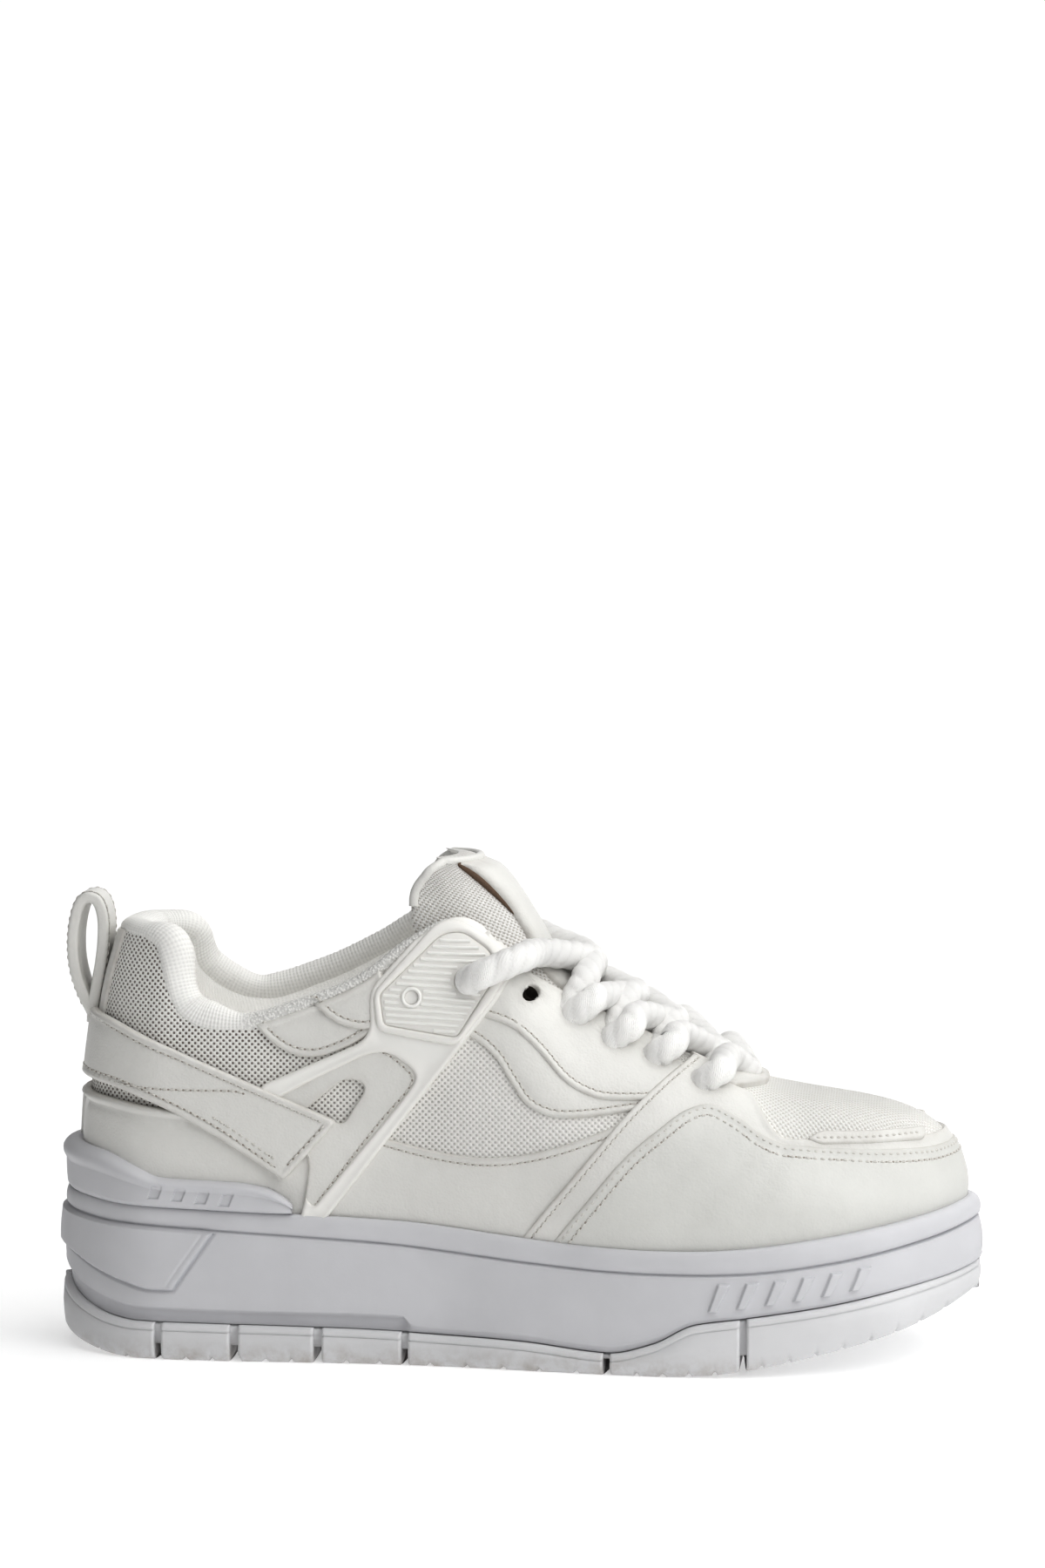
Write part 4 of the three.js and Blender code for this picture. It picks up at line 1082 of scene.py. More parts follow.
def at_height(t, z, out):
    """Points of the upper at height z on the meridians t, moved out."""
    low, high = np.zeros(len(t)), np.full(len(t), 0.8)
    for _ in range(20):
        middle = (low + high) / 2
        under = face(t, middle)[:, 2] < z
        low, high = np.where(under, middle, low), np.where(under, high, middle)
    return upper_point(t, low, out)


CLIP_REACH = 0.144
CLIP_TOP = table(
    "x z", [(0, 64), (14, 62.5), (26, 58.5), (35, 55.5), (60, 54.5), (68, 53), (73.5, 50), (77, 46.5)]
)
CLIP_MARKS, MARK_START, MARK_PITCH = 4, 33, 7.3


def clip_mark(k):
    """Corners of one of the clip's sunk marks on the side elevation."""
    x = MARK_START + k * MARK_PITCH
    top, foot = 53 - 0.7 * k, 49.2 - 0.6 * k
    return (x, top), (x + 3.2, top), (x + 1.7, foot), (x - 1.4, foot)


def heel_clip():
    t = even_stations(0.6, -CLIP_REACH, CLIP_REACH, fine=((30, 59, 2.2),))
    x = plan_loop("sole", t)[0][:, 0]
    foot = level("rim", x) + GAP
    head = np.maximum(monotone(CLIP_TOP["x"], CLIP_TOP["z"], x), foot + 1.2)
    tip = smoothstep(0, 7, head - foot)
    rows, marks = [], []
    # Share of the height, inset at the full height, inset at the tip, shadow.
    outer = [
        (-0.06, 5.2, 4.6, 1), (-0.05, 3.4, 4.2, 0.8), (0.0, 2.4, 3.9, 0.3), (0.05, 1.95, 3.6, 0),
        *((s, 1.9 - 0.35 * math.sin(math.pi * s), 3.0, 0) for s in np.linspace(0.1, 0.57, 34)),
        (0.65, 1.0, 2.6, 0), (0.7, 0.7, 2.5, 0), (0.76, 0.6, 2.5, 0), (0.82, 0.75, 2.6, 0),
        (0.88, 1.3, 2.7, 0), (0.93, 2.1, 3.0, 0), (0.97, 3.2, 3.6, 0), (1.0, 4.8, 4.5, 0.1),
    ]
    for share, full, small, dark in outer:
        z = foot + (head - foot) * share
        inset = small + (full - small) * tip
        sunk = np.zeros(len(x))
        for k in range(CLIP_MARKS):
            sunk = np.maximum(sunk, strip_mask(x, z, clip_mark(k), 0.2))
        rows.append(sole_ring(t, inset + 0.6 * sunk * (0.05 < share < 0.9), z))
        # Painted shade along the edges of the sunk marks.
        marks.append(np.maximum(dark, 4 * sunk * (1 - sunk)))
    # The rows down to the upper are dark with painted shade.
    for share in (0.97, 0.8, 0.5, 0.2, 0.0):
        rows.append(at_height(t, foot + (head - foot) * share, 0.4))
        marks.append(np.full(len(x), 1.0))
    columns, loops = len(t), len(rows)
    last = np.arange(columns - 1)
    top = (loops - 1) * columns
    closing = np.stack([top + last, top + last + 1, last + 1, last], 1)
    ends = np.arange(loops) * columns
    faces = [grid_faces(loops, columns), closing, cap(ends), cap(ends + columns - 1, True)]
    return np.concatenate(rows), [np.concatenate(faces)], np.concatenate(marks)


p, f = outsole()
made = make("outsole_tread", p, [f], TREAD, marks={"groove": np.zeros(len(p))})
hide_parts("outsole")
# The groove marks of the foam parts set where they carry painted shade.
p, f, groove = midsole()
made = make("midsole_cup", p, f, FOAM, marks={"groove": groove})
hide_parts("midsole")
p, f, groove = heel_clip()
made = make("heel_clip_moulded", p, f, FOAM, marks={"groove": groove})
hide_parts("heel_clip")


# ---------------------------------------------------------------- the upper's shell and its lining
TOE_T = 0.365  # t from which the toe's finer mesh is laid
HEEL_T = 0.12  # t below which the side mesh is measured round the heel
EYELETS = 5
EYELET_RADIUS = 2.2
SHELL_HOLE, LINING_HOLE = 3.3, 6.0  # radii cut at each eyelet from the mesh and from the lining
eyelet_line = np.array([(146.5, 111), (159.5, 104.5), (171.5, 97.5), (184, 92), (198.5, 84.5)])
eyelet_tv = on_side(eyelet_line)


def fabric_uv(t, v):
    """Mm coordinates of the side mesh: along the shoe or round its heel, and up its side."""
    steps = np.linspace(0, 1, 60)
    grid = face(t[0][None, :, None], steps[:, None, None])[:, :, 0]
    climb = np.linalg.norm(np.diff(grid, axis=0)[..., 1:], axis=-1)
    heights = np.concatenate([np.zeros((1, len(t[0]))), np.cumsum(climb, 0)]) + grid[0, :, 2]
    up = np.stack([np.interp(v[:, i], steps, heights[:, i]) for i in range(t.shape[1])], 1)
    p = face(t, v)
    run = np.linalg.norm(np.diff(p[..., :2], axis=1), axis=-1)
    around_heel = np.concatenate([np.zeros((len(t), 1)), np.cumsum(run, 1)], 1)
    turn = np.argmin(np.abs(t[0] - HEEL_T))
    heel = p[:, turn : turn + 1, 0] - (around_heel[:, turn : turn + 1] - around_heel)
    u = np.where(t < HEEL_T, heel, p[..., 0])
    return np.stack([u, up], -1)


def near_eyelet(points, reach):
    found = np.zeros(len(points), bool)
    for tv in (eyelet_tv, mirrored(eyelet_tv)):
        for centre in skin(tv[:, 0], tv[:, 1]):
            found |= np.linalg.norm(points - centre, axis=1) < reach
    return found


def upper_half(side):
    """Outer face of one side, from the heel centre to the toe centre."""
    t, v = np.meshgrid(np.linspace(0, 0.5, 261), np.linspace(0, 1, 64))
    uv = fabric_uv(t, v)
    over = np.where((t > TOE_T)[..., None], face(t, v)[..., :2], uv).reshape(-1, 2)
    real_t = t if side < 0 else 1 - t
    points = skin(real_t, v).reshape(-1, 3)
    faces = grid_faces(*t.shape)
    faces = faces[~near_eyelet(points[faces].mean(1), SHELL_HOLE)]
    toe = t.ravel()[faces].mean(1) > TOE_T
    return points, faces[:, ::-side], over, face_normal(real_t, v).reshape(-1, 3), toe


def shell_face():
    halves = [upper_half(-1), upper_half(1)]
    points, faces = merged([half[:2] for half in halves])
    uv, outward, toe = (np.concatenate([half[k] for half in halves]) for k in (2, 3, 4))
    return make("upper_mesh", points, [faces], [MESH, TOE_MESH], uv=uv, outward=outward,
                kinds=toe.astype(int))


def lining():
    t = np.linspace(0, 1, 361)[:-1]
    v = np.linspace(0.98, 0, 48)[:, None]
    points = upper_point(t[None], v, -wall_thickness(t[None], v))
    around_line = length_along(np.concatenate([points[0], points[0][:1]]))
    u = np.broadcast_to(around_line[:-1], points.shape[:2])
    down = (1 - v) * 95 + 0 * t[None]
    faces = grid_faces(*points.shape[:2], wrap=True)
    flat = points.reshape(-1, 3)
    faces = faces[~near_eyelet(flat[faces].mean(1), LINING_HOLE)]
    outward = -face_normal(t[None], v + 0 * t[None]).reshape(-1, 3)
    return make("lining", flat, [faces], LINING, uv=np.stack([u, down], -1).reshape(-1, 2),
                period=around_line[-1], outward=outward, marks={"bead": np.zeros(len(flat))})


COLLAR_END = 0.286  # t where the padded collar runs out into the throat's edge


def collar():
    """The padded collar: a crowned roll from one throat corner round the heel to the other."""
    t = np.linspace(-COLLAR_END, COLLAR_END, 361)
    edge = upper_point(t, 1.0)
    inside_edge = upper_point(t, 1.0, -wall_thickness(t, 1.0))
    run = unit(np.gradient(edge, axis=0))
    climb = unit(np.cross(run, face_normal(t, 1.0 + 0 * t)))
    climb *= np.sign(dot(climb, upper_point(t, 1.0) - upper_point(t, 0.96)))[:, None]
    thick = np.linalg.norm(edge - inside_edge, axis=1)
    side = (edge - inside_edge) / thick[:, None]
    taper = np.sqrt(np.clip((COLLAR_END - np.abs(t)) / 0.03, 0, 1))
    middle = (edge + inside_edge) / 2
    round_by = length_along(edge)
    beaded = smoothstep(58, 64, edge[:, 0])
    corner = smoothstep(27, 38, edge[:, 0]) * (1 - smoothstep(48, 64, edge[:, 0]))
    corner = corner * np.where(t > 0, 1.0, 0.42)
    beyond = np.where(t < 0, 0.9 * smoothstep(52, 64, edge[:, 0]), 0)
    turns = np.linspace(-0.5, 1.32, 46) * math.pi
    rows, uv, bead = [], [], []
    for turn in turns:
        c, s = math.cos(turn), math.sin(turn)
        a = thick / 2 + (0.5 + 0.35 * beaded + 0.5 * corner) * taper
        b = (0.3 * thick + 0.5 + 3.8 * corner + 0.5 * beaded + beyond) * taper + 0.25
        low = s < 0
        b = np.where(low, 0.5 * thick + 1.0, b) if c < 0 else np.where(low, 1.4 + 0.25 * thick, b)
        wavy = 0.14 * beaded * np.sin(round_by * 2 * math.pi / 2.2 + 3 * turn) * (c > -0.2)
        puff = 0.35 * np.sin(round_by * 0.11) * (1 - beaded) * max(s, 0)
        point = middle + side * ((a + wavy + puff) * c)[:, None] + climb * ((b + wavy) * s)[:, None]
        rows.append(point)
        uv.append(np.stack([round_by, turn * thick / 2], 1))
        bead.append(beaded * float(turn < 0.36 * math.pi))
    points = np.concatenate(rows)
    faces = grid_faces(len(rows), len(t))
    outward = points - np.tile(middle, (len(rows), 1))
    made = make("collar", points, [faces], KNIT, uv=np.concatenate(uv), outward=outward,
                marks={"bead": np.concatenate(bead)})
    return made


def throat_edge():
    """The thin rounded edge of the facings round the throat, between the collar's ends."""
    t = np.linspace(COLLAR_END - 0.012, 1 - COLLAR_END + 0.012, 201)
    edge = upper_point(t, 0.985, 0.9)
    inside_edge = upper_point(t, 1.0, -WALL)
    climb = unit(upper_point(t, 1.0) - upper_point(t, 0.96))
    middle, half = (edge + inside_edge) / 2, (edge - inside_edge) / 2
    rows = [
        middle + half * math.cos(a) + climb * (1.3 * math.sin(a))
        for a in np.linspace(-0.35, 1.3, 18) * math.pi
    ]
    points = np.concatenate(rows)
    outward = points - np.tile(middle, (len(rows), 1))
    return make("throat_edge", points, [grid_faces(len(rows), len(t))], LEATHER,
                outward=outward, marks={"edge": np.full(len(points), 0.25)})


shell = shell_face()
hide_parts("upper")
lining()
collar()
throat_edge()

# ---------------------------------------------------------------- stitches
STITCHES = []  # (places, directions along, directions out, length)
HOLES = []


def stitch(surface, tv, out, pitch=2.3, length=1.65):
    """A row of stitches along a line (a, b) of a surface, out mm above it."""
    row = even(tv, pitch / 2, measure=surface(tv[:, 0], tv[:, 1]))[1:-1]
    height = out(row) if callable(out) else np.full(len(row), float(out))
    p = surface(row[:, 0], row[:, 1], height)
    normal = unit(surface(row[:, 0], row[:, 1], height + 1) - p)
    run = unit(np.gradient(p, axis=0))
    STITCHES.append((p[::2], run[::2], normal[::2], np.full(len(p[::2]), length)))
    HOLES.append((p[1::2], run[1::2], normal[1::2], np.full(len(p[1::2]), 0.8)))


def stamped(groups, shape_points, shape_faces, width, height, sink):
    """Copies of a small shape at every place, joined."""
    places_, run, normal, length = (np.concatenate(c) for c in zip(*groups))
    across = np.cross(normal, run)
    x, y, z = (shape_points[:, k][None, :, None] for k in range(3))
    points = (
        (places_ - normal * sink)[:, None]
        + run[:, None] * (x * length[:, None, None] / 2)
        + across[:, None] * (y * width / 2)
        + normal[:, None] * (z * height)
    )
    n = len(shape_points)
    faces = shape_faces[None] + np.arange(len(places_))[:, None, None] * n
    faces = faces.reshape(-1, shape_faces.shape[1])
    return points.reshape(-1, 3), faces, np.repeat(normal, n, axis=0)


def stitch_shape():
    """A short arched thread: rings of six points along x, drawn in at its ends."""
    rings = []
    for x in (-1, -0.82, -0.4, 0, 0.4, 0.82, 1):
        wide = 0.35 + 0.65 * (1 - x**4)
        lift = 1 - 1.1 * abs(x) ** 3
        for k in range(6):
            a = 2 * math.pi * k / 6
            rings.append((x, wide * math.cos(a), 0.5 * wide * math.sin(a) + lift * 0.5))
    return np.array(rings), grid_faces(7, 6, wrap=True)


def hole_shape():
    ring = [(math.cos(a), math.sin(a), 0.0) for a in np.arange(8) * math.pi / 4]
    return np.array([*ring, (0, 0, 0.35)]), np.array([(i, (i + 1) % 8, 8) for i in range(8)])


# ---------------------------------------------------------------- panels of the upper
def side_line(points, spacing=1.0):
    """A smooth line through points of the lateral elevation, as rows (t, v)."""
    return on_side(spline(points, spacing))


def side_outline(corners):
    return on_side(rounded(corners))


def pieces_both_sides(outline, height, holes=(), **more):
    pieces = [panel(skin, outline, height, holes, **more)]
    pieces.append(panel(skin, mirrored(outline), height, [mirrored(h) for h in holes], **more))
    return join(pieces)


def stitch_both(line, out, **more):
    stitch(skin, line, out, **more)
    stitch(skin, mirrored(line), out, **more)


def toe_fade(points):
    """Leather heights also go down towards the tip of the toe."""
    return rim_fade(points) * (1 - 0.45 * smoothstep(253, 270, points[:, 0]))


def faded(lift):
    return lambda row: lift * toe_fade(face(row[:, 0], row[:, 1]))


# Lines of the lateral side, x and z in mm.
ANKLE_LOW = [
    (63.5, 103.5), (68, 98), (75, 93.5), (83, 92.5), (92, 95.5), (101, 100.5), (108, 103),
]
ANKLE_HIGH = [(80.5, 110), (84, 106.5), (90, 102.5), (98, 101), (108, 103.5)]
EYESTAY_HIGH = [
    (124, 106.5), (134, 105), (142, 102), (149, 96), (157, 87), (164, 82.5), (172, 80.5), (190, 80.5),
    (201, 81.5),
]
EYESTAY_LOW = [
    (122, 100.5), (130, 99), (137, 93.5), (142, 86), (147, 79.5), (155, 76), (166, 76), (182, 78),
    (200, 79.5),
]
MUDGUARD_TOP = [(89, 73), (106, 68), (122, 64.5), (136, 63.5), (150, 65.5), (166, 70.5), (182, 77)]
VAMP_BACK = [(140.5, 33), (155.5, 51.5), (174.5, 74), (186, 85), (194.5, 91)]
TOE_SEAM = [
    (150.5, 33), (164, 49.5), (176, 63.5), (187, 72.5), (194, 77), (201, 78), (209, 74.5), (220, 68),
    (231, 66), (248, 65), (266, 64.5),
]
MESH_EDGE = [
    (207.5, 82.5), (213, 80), (217, 75), (220, 71), (225, 68.5), (242, 68), (262, 67.5),
]
SEAM_TIP, MESH_TIP, CROWN_V = 65.2, 68.2, 0.968


def to_toe_centre(line, z):
    """The line carried on round the toe to its centre, reaching height z there."""
    t = np.linspace(line[-1, 0], 0.5, 15)[1:]
    heights = np.linspace(skin(*line[-1])[2], z, 15)[1:]
    v = np.linspace(0, 0.85, 240)
    up = face(t[:, None], v[None])[..., 2]
    return np.concatenate([line, [(a, np.interp(h, u, v)) for a, h, u in zip(t, heights, up)]])


def across_toe(line):
    return np.concatenate([line, mirrored(line)[1:]])


def soft_leather(lift, bead=0.16, channel=0.18, at=2.2):
    return edge_profile(lift, 0.5, bead, 1.0, 0.7, channel, at)


def ring_on(centre_xz, radius, squash=1.0):
    turn = full_turn(28)
    ring = np.stack([radius * np.cos(turn), radius * squash * np.sin(turn)], 1)
    return on_side(ring + centre_xz)


eyelet_holes = [ring_on(centre, EYELET_RADIUS, 0.86) for centre in eyelet_line]

TOP_V, LOW_V = 0.992, 0.03  # v at which panels end, under the collar and inside the rim


def up_to_throat(line):
    """A closed outline between a line and the throat's edge above it."""
    ends = np.array([[line[-1, 0], TOP_V], [line[0, 0], TOP_V]])
    edge = np.linspace(ends[0], ends[1], 40)
    left = np.linspace(line[-1], ends[0], 20)[1:-1]
    right = np.linspace(ends[1], line[0], 20)[1:-1]
    return np.concatenate([line, left, edge, right])


def throat_panel(name, line, lift, bead, width, inset, skip=0, holes=()):
    """A leather panel between a line and the throat's edge, stitched along the line."""
    shape = edge_profile(lift, 0.5, bead, 0.9, width, 0.2, inset)
    show(name, pieces_both_sides(up_to_throat(line), shape, holes), LEATHER)
    stitch_both(offset_line(skin, line[skip:], inset), lift - 0.1)


throat_panel("eyestay_lower", side_line(EYESTAY_LOW), 0.8, 0.3, 0.6, 2.1, holes=eyelet_holes[:4])
throat_panel("eyestay_upper", side_line(EYESTAY_HIGH), 1.5, 0.35, 0.6, 2.1, holes=eyelet_holes[:4])

# Mudguard between the cage and the vamp strap, and the quarter under the cage and the strap.
mud = side_line(MUDGUARD_TOP)
foot = np.linspace([mud[0, 0] - 0.024, LOW_V], [mud[-1, 0] - 0.02, LOW_V], 90)
outline = np.concatenate([mud[::-1], foot])
piece = pieces_both_sides(outline, soft_leather(0.85), fade=rim_fade)
show("mudguard", piece, LEATHER)
stitch_both(offset_line(skin, mud, -2.2), faded(0.72))
quarter = side_outline([(58, 76, 3), (96, 70, 3), (99, 34, 2), (58, 38, 2)])
show("quarter", pieces_both_sides(quarter, edge_profile(0.3, 0.2)), LEATHER)

# Vamp: its strap rises from the sole to the throat, passes round it and frames the toe's mesh.
back_line = side_line(VAMP_BACK)
throat = np.stack([np.linspace(back_line[-1, 0], 0.5, 60), np.full(60, TOP_V)], 1)
half = np.concatenate([[[back_line[0, 0], LOW_V]], back_line, throat[1:]])
seam = to_toe_centre(side_line(TOE_SEAM), SEAM_TIP)
under = offset_line(skin, seam, -6.0)
under = under[np.argmax(under[:, 0] > 0.3) :]
under[-1] = (0.5, under[-1, 1])
low = np.concatenate([[[seam[0, 0] + 0.012, LOW_V]], under[under[:, 1] > 2 * LOW_V]])
outline = np.concatenate([across_toe(half), across_toe(low)[::-1]])
window_side = to_toe_centre(side_line(MESH_EDGE), MESH_TIP)
crown = np.linspace(0.5, window_side[0, 0], 14)
rise = ((0.5 - crown) / (0.5 - window_side[0, 0])) ** 2.2
crown = np.stack([crown, CROWN_V + (window_side[0, 1] - CROWN_V) * rise], 1)
window = np.concatenate([window_side, mirrored(window_side)[1:-1], mirrored(crown)[:-1], crown[:-1]])
piece = panel(skin, outline, edge_profile(1.95, 0.5, 0.14, 1.0, 0.7, 0.16, 2.2),
              [window, eyelet_holes[4], mirrored(eyelet_holes[4])], fade=toe_fade)
show("vamp", piece, LEATHER)
stitch_both(offset_line(skin, back_line[4:], -2.0), faded(1.85))

# Toe cap: its top edge is the double-stitched seam.
foot = np.linspace([1 - seam[0, 0], LOW_V], [seam[0, 0], LOW_V], 200)
outline = np.concatenate([across_toe(seam), foot])
piece = panel(skin, outline, edge_profile(2.65, 0.6, 0.12, 1.2, 0.8, 0.14, 2.6), fade=toe_fade)
show("toe_cap", piece, TOE_LEATHER_SHADED)
seam_round = across_toe(seam[3:])
for inset in (1.5, 3.7):
    stitch(skin, offset_line(skin, seam_round, -inset), faded(2.58))

# A padded tab strip runs along the bottom of the toe's mesh.
TAB_OUTLINE = [(229.5, 68, 1), (233.5, 70, 2), (264, 69.5, 1), (264, 66.5, 1), (234, 66.5, 1.5)]
tab = side_outline(TAB_OUTLINE)
piece = pieces_both_sides(tab, edge_profile(2.7, 0.9), spacing=0.6, insets=(0.2, 0.5, 0.9))
show("toe_tab", piece, LEATHER)
stitch_both(side_line([(232, 68), (246, 68), (262, 68)]), 2.62, pitch=2.1, length=1.5)

# Ankle panels under the collar.
throat_panel("ankle_lower", side_line(ANKLE_LOW), 0.9, 0.4, 0.65, 2.3, skip=2)
throat_panel("ankle_upper", side_line(ANKLE_HIGH), 1.6, 0.4, 0.65, 2.2, skip=1)


# ---------------------------------------------------------------- heel band, counter and strap
def round_heel(line):
    """A line of the lateral side, starting at the heel, joined to its mirror across the heel."""
    return np.concatenate([(line * [-1, 1])[::-1], line])


def heel_outline(corners):
    """A CAD side outline that runs out behind the heel, cut at the heel's centre and mirrored."""
    line = rounded(corners)
    behind = line[:, 0] < face(np.array([0.0]), np.array([0.5]))[0, 0] - 1
    start = np.argmax(behind & ~np.roll(behind, 1))
    line = np.roll(line, -start, axis=0)
    line = line[~(line[:, 0] < 4)]
    tv = on_side(line)
    order = tv if tv[0, 1] < tv[-1, 1] else tv[::-1]
    order = np.concatenate([[[0.0, order[0, 1]]], order, [[0.0, order[-1, 1]]]])
    return np.concatenate([order, (order * [-1, 1])[-2:0:-1]])


band_t, band_v = 0.031, np.linspace(0.45, 0.985, 30)
band_side = np.stack([0 * band_v + band_t, band_v], 1)
outline = np.concatenate([band_side, (band_side * [-1, 1])[::-1]])
show("heel_band", panel(skin, outline, soft_leather(0.8)), LEATHER)

COUNTER_OUTLINE = [
    (-5, 80.5, 2), (11, 79.4, 10), (38, 75.8, 10), (50, 76.5, 5), (84, 64, 5), (86, 40, 2), (-5, 40, 1),
]
counter_shape = edge_profile(1.6, 0.8, 1.25, 1.3, 1.15, 0.45, 3.1)
piece = panel(skin, heel_outline(COUNTER_OUTLINE), counter_shape, base=0.1,
              fade=lambda p: rim_fade(p) * (1 - 0.8 * smoothstep(62, 75, p[:, 0])))
made = show("heel_counter_leather", piece, LEATHER)
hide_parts("heel_counter")

STRAP_OUTLINE = [
    (-5, 103.5, 2), (17, 103.5, 8), (89.6, 73.4, 1.5), (73.4, 55.4, 1.5), (45, 73.2, 25),
    (22, 82.6, 15), (-5, 84.6, 2),
]
strap_shape = edge_profile(3.2, 0.9, 0.3, 1.1, 0.8, 0.2, 2.4)
piece = panel(skin, heel_outline(STRAP_OUTLINE), strap_shape, base=0.3,
              insets=(0.2, 0.5, 0.9, 1.5, 2.3, 3.1))
made = show("heel_strap_leather", piece, LEATHER)
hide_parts("heel_strap")
STRAP_TOP = [(12, 104), (18, 103), (28, 99), (50, 90), (89, 74)]
STRAP_LOW = [(12, 84), (24, 82), (36, 77.5), (52, 69.5), (73, 55.5)]
STRAP_INNER = [(15.5, 84.5), (28, 82.5), (44, 82), (58, 82), (62.5, 81)]
top_row = offset_line(skin, side_line(STRAP_TOP), -2.2)
low_row = offset_line(skin, side_line(STRAP_LOW), 2.0)
stitch(skin, round_heel(top_row[4:-3]), 3.15)
stitch(skin, round_heel(low_row[4:-3]), 3.15)
stitch_both(offset_line(skin, side_line(STRAP_LOW), 4.0)[40:-5], 3.15)
stitch_both(side_line([(86, 72.5), (80, 66), (74, 59.5)]), 3.25)
stitch_both(side_line(STRAP_INNER), 3.2)

# ---------------------------------------------------------------- lace cages
CAGE_OUTLINE = [
    (99, 112.5, 4), (119, 134.6, 7), (127.5, 133, 5), (143, 120.6, 4), (137.6, 110, 3),
    (84.6, 42, 1.5), (77.5, 42, 1.5), (83, 61, 6), (66, 78, 4), (66, 83.6, 2), (99.8, 98.4, 6),
]
INLAY_LINE = [
    (69, 81.5), (80, 86.5), (92, 91.5), (100, 94.5), (105, 93.5), (111, 89), (112.5, 86.5),
    (110.5, 82.5), (101, 71.5), (82, 47),
]
WINDOW_OUTLINE = [(99.3, 84.6, 4), (92, 86.9, 4), (79.4, 76.2, 1.5), (91.2, 72.2, 2)]
cage = side_outline(CAGE_OUTLINE)
opening = side_outline(WINDOW_OUTLINE)
cage_shape = edge_profile(1.95, 0.5, 0.4, 1.0, 0.7, 0.0)
hole = side_outline([
    (79, 84.2, 8), (103.3, 96, 8), (114.6, 88.2, 5), (111, 82.2, 9), (82.2, 47.4, 1), (79.8, 50, 1),
    (82.5, 62.4, 6), (70, 78.8, 3),
])
piece = pieces_both_sides(cage, cage_shape, [hole], spacing=0.7, insets=(0.15, 0.5, 1.0, 1.6))
made = show("lace_cage_frame", piece, MOULDED)
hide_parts("lace_cage_lateral", "lace_cage_medial")
inlay = side_outline([
    (70, 80.4, 2), (80, 85.4, 9), (103.5, 97.2, 8), (115.8, 88.3, 5), (112, 82.2, 9), (82.6, 46.6, 1),
    (79, 46.6, 1), (81.6, 62.4, 6), (68.6, 79, 3),
])
piece = pieces_both_sides(inlay, edge_profile(1.55, 0.3), [opening], insets=(0.3, 0.8, 1.6, 2.4))
show("cage_inlay", piece, LEATHER)
stitch_both(side_line(INLAY_LINE), 1.55, pitch=2.5)

# The ribbed plate: a flat rim, and inside it fine ribs that slope a little down to the front.
PLATE_EDGE = [
    (100.2, 111.6, 3), (119.4, 132.8, 6), (127.2, 131.6, 5), (141.4, 120.2, 4), (136.6, 110.6, 3),
    (125.8, 96.4, 3), (101.6, 100.6, 3),
]
PLATE_OUTLINE = [
    (102.4, 111.2, 1.5), (120.4, 128.6, 3), (126.4, 129.2, 3), (133.4, 124, 2), (137.4, 117.6, 2),
    (125.8, 99, 1.5), (103.8, 102.4, 1.5),
]
PLATE_LIFT, RIB_PITCH, RIB_SLOPE = 2.5, 1.85, -0.05
plate_edge = side_outline(PLATE_EDGE)
ribbed = side_outline(PLATE_OUTLINE)
SMALL_HOLE, LACE_HOLE = (112, 110.5), (128, 115.5)
plate_holes = [ring_on(SMALL_HOLE, 1.9), ring_on(LACE_HOLE, 3.3)]
piece = pieces_both_sides(plate_edge, edge_profile(2.9, 0.8, 0.2, 1.2, 0.7), [ribbed], spacing=0.7,
                          insets=(0.2, 0.5, 0.8, 1.3))
show("plate_rim", piece, MOULDED)
piece = pieces_both_sides(ribbed, edge_profile(PLATE_LIFT, 0.2), plate_holes, spacing=0.5, insets=(0.3, 0.7))
show("ribbed_plate", piece, MOULDED)


# ---------------------------------------------------------------- tongue
TONGUE = table("x z reach radius thick wrap droop", [
    (208, 80.2, 14, 60, 3, 0, 0.15),
    (184, 97, 19, 60, 4, 0, 0.12),
    (165, 109.6, 22, 45, 5, 0.05, 0.12),
    (154, 118, 30, 27, 6, 0.35, 0.15),
    (147, 130, 45, 22, 7, 0.8, 0.12),
    (140, 140.5, 42, 22, 7.5, 1, 0.08),
    (134, 147.3, 32, 22.5, 7, 1, 0.04),
    (128, 150.4, 19, 23, 4.5, 1, 0.02),
])
TONGUE_LENGTH = 112.0
WING_TURN = math.radians(84)  # where the arc runs on into straight wings


def through(values, u):
    """Open curve through values, at u from 0 to 1."""
    last = len(values) - 1
    place = np.clip(np.asarray(u, float), 0, 1) * last
    i = np.minimum(np.floor(place).astype(int), last - 1)
    padded = np.concatenate([[2 * values[0] - values[1]], values, [2 * values[-1] - values[-2]]])
    return catmull(*(padded[i + k] for k in range(4)), place - i)


def tongue_frame(u):
    u = np.asarray(u, float)
    step = 0.01
    high, low = np.minimum(u + step, 1), np.maximum(u - step, 0)
    run_x, run_z = (through(TONGUE[c], high) - through(TONGUE[c], low) for c in "xz")
    x, z, reach, radius, thick, wrap, droop = (through(column, u) for column in TONGUE.values())
    normal = unit(vec(run_z, 0, -run_x))
    back = unit(normal * (1 - wrap[..., None]) + vec(1, 0, droop) * wrap[..., None])
    return vec(x, 0, z), back, reach, radius, thick


def tongue_point(u, s, out=0.0):
    """Point at s mm round the tongue from its middle: an arc that runs on into straight wings."""
    centre, back, _, radius, _ = tongue_frame(u)
    turn = np.clip(s / radius, -WING_TURN, WING_TURN)
    rest = s - turn * radius
    y = radius * np.sin(turn) + rest * np.cos(turn)
    away = radius * (1 - np.cos(turn)) + np.abs(rest) * np.sin(np.abs(turn))
    y = y + np.sin(turn) * out
    return centre + back * (np.cos(turn) * out - away)[..., None] + vec(0, y, 0)


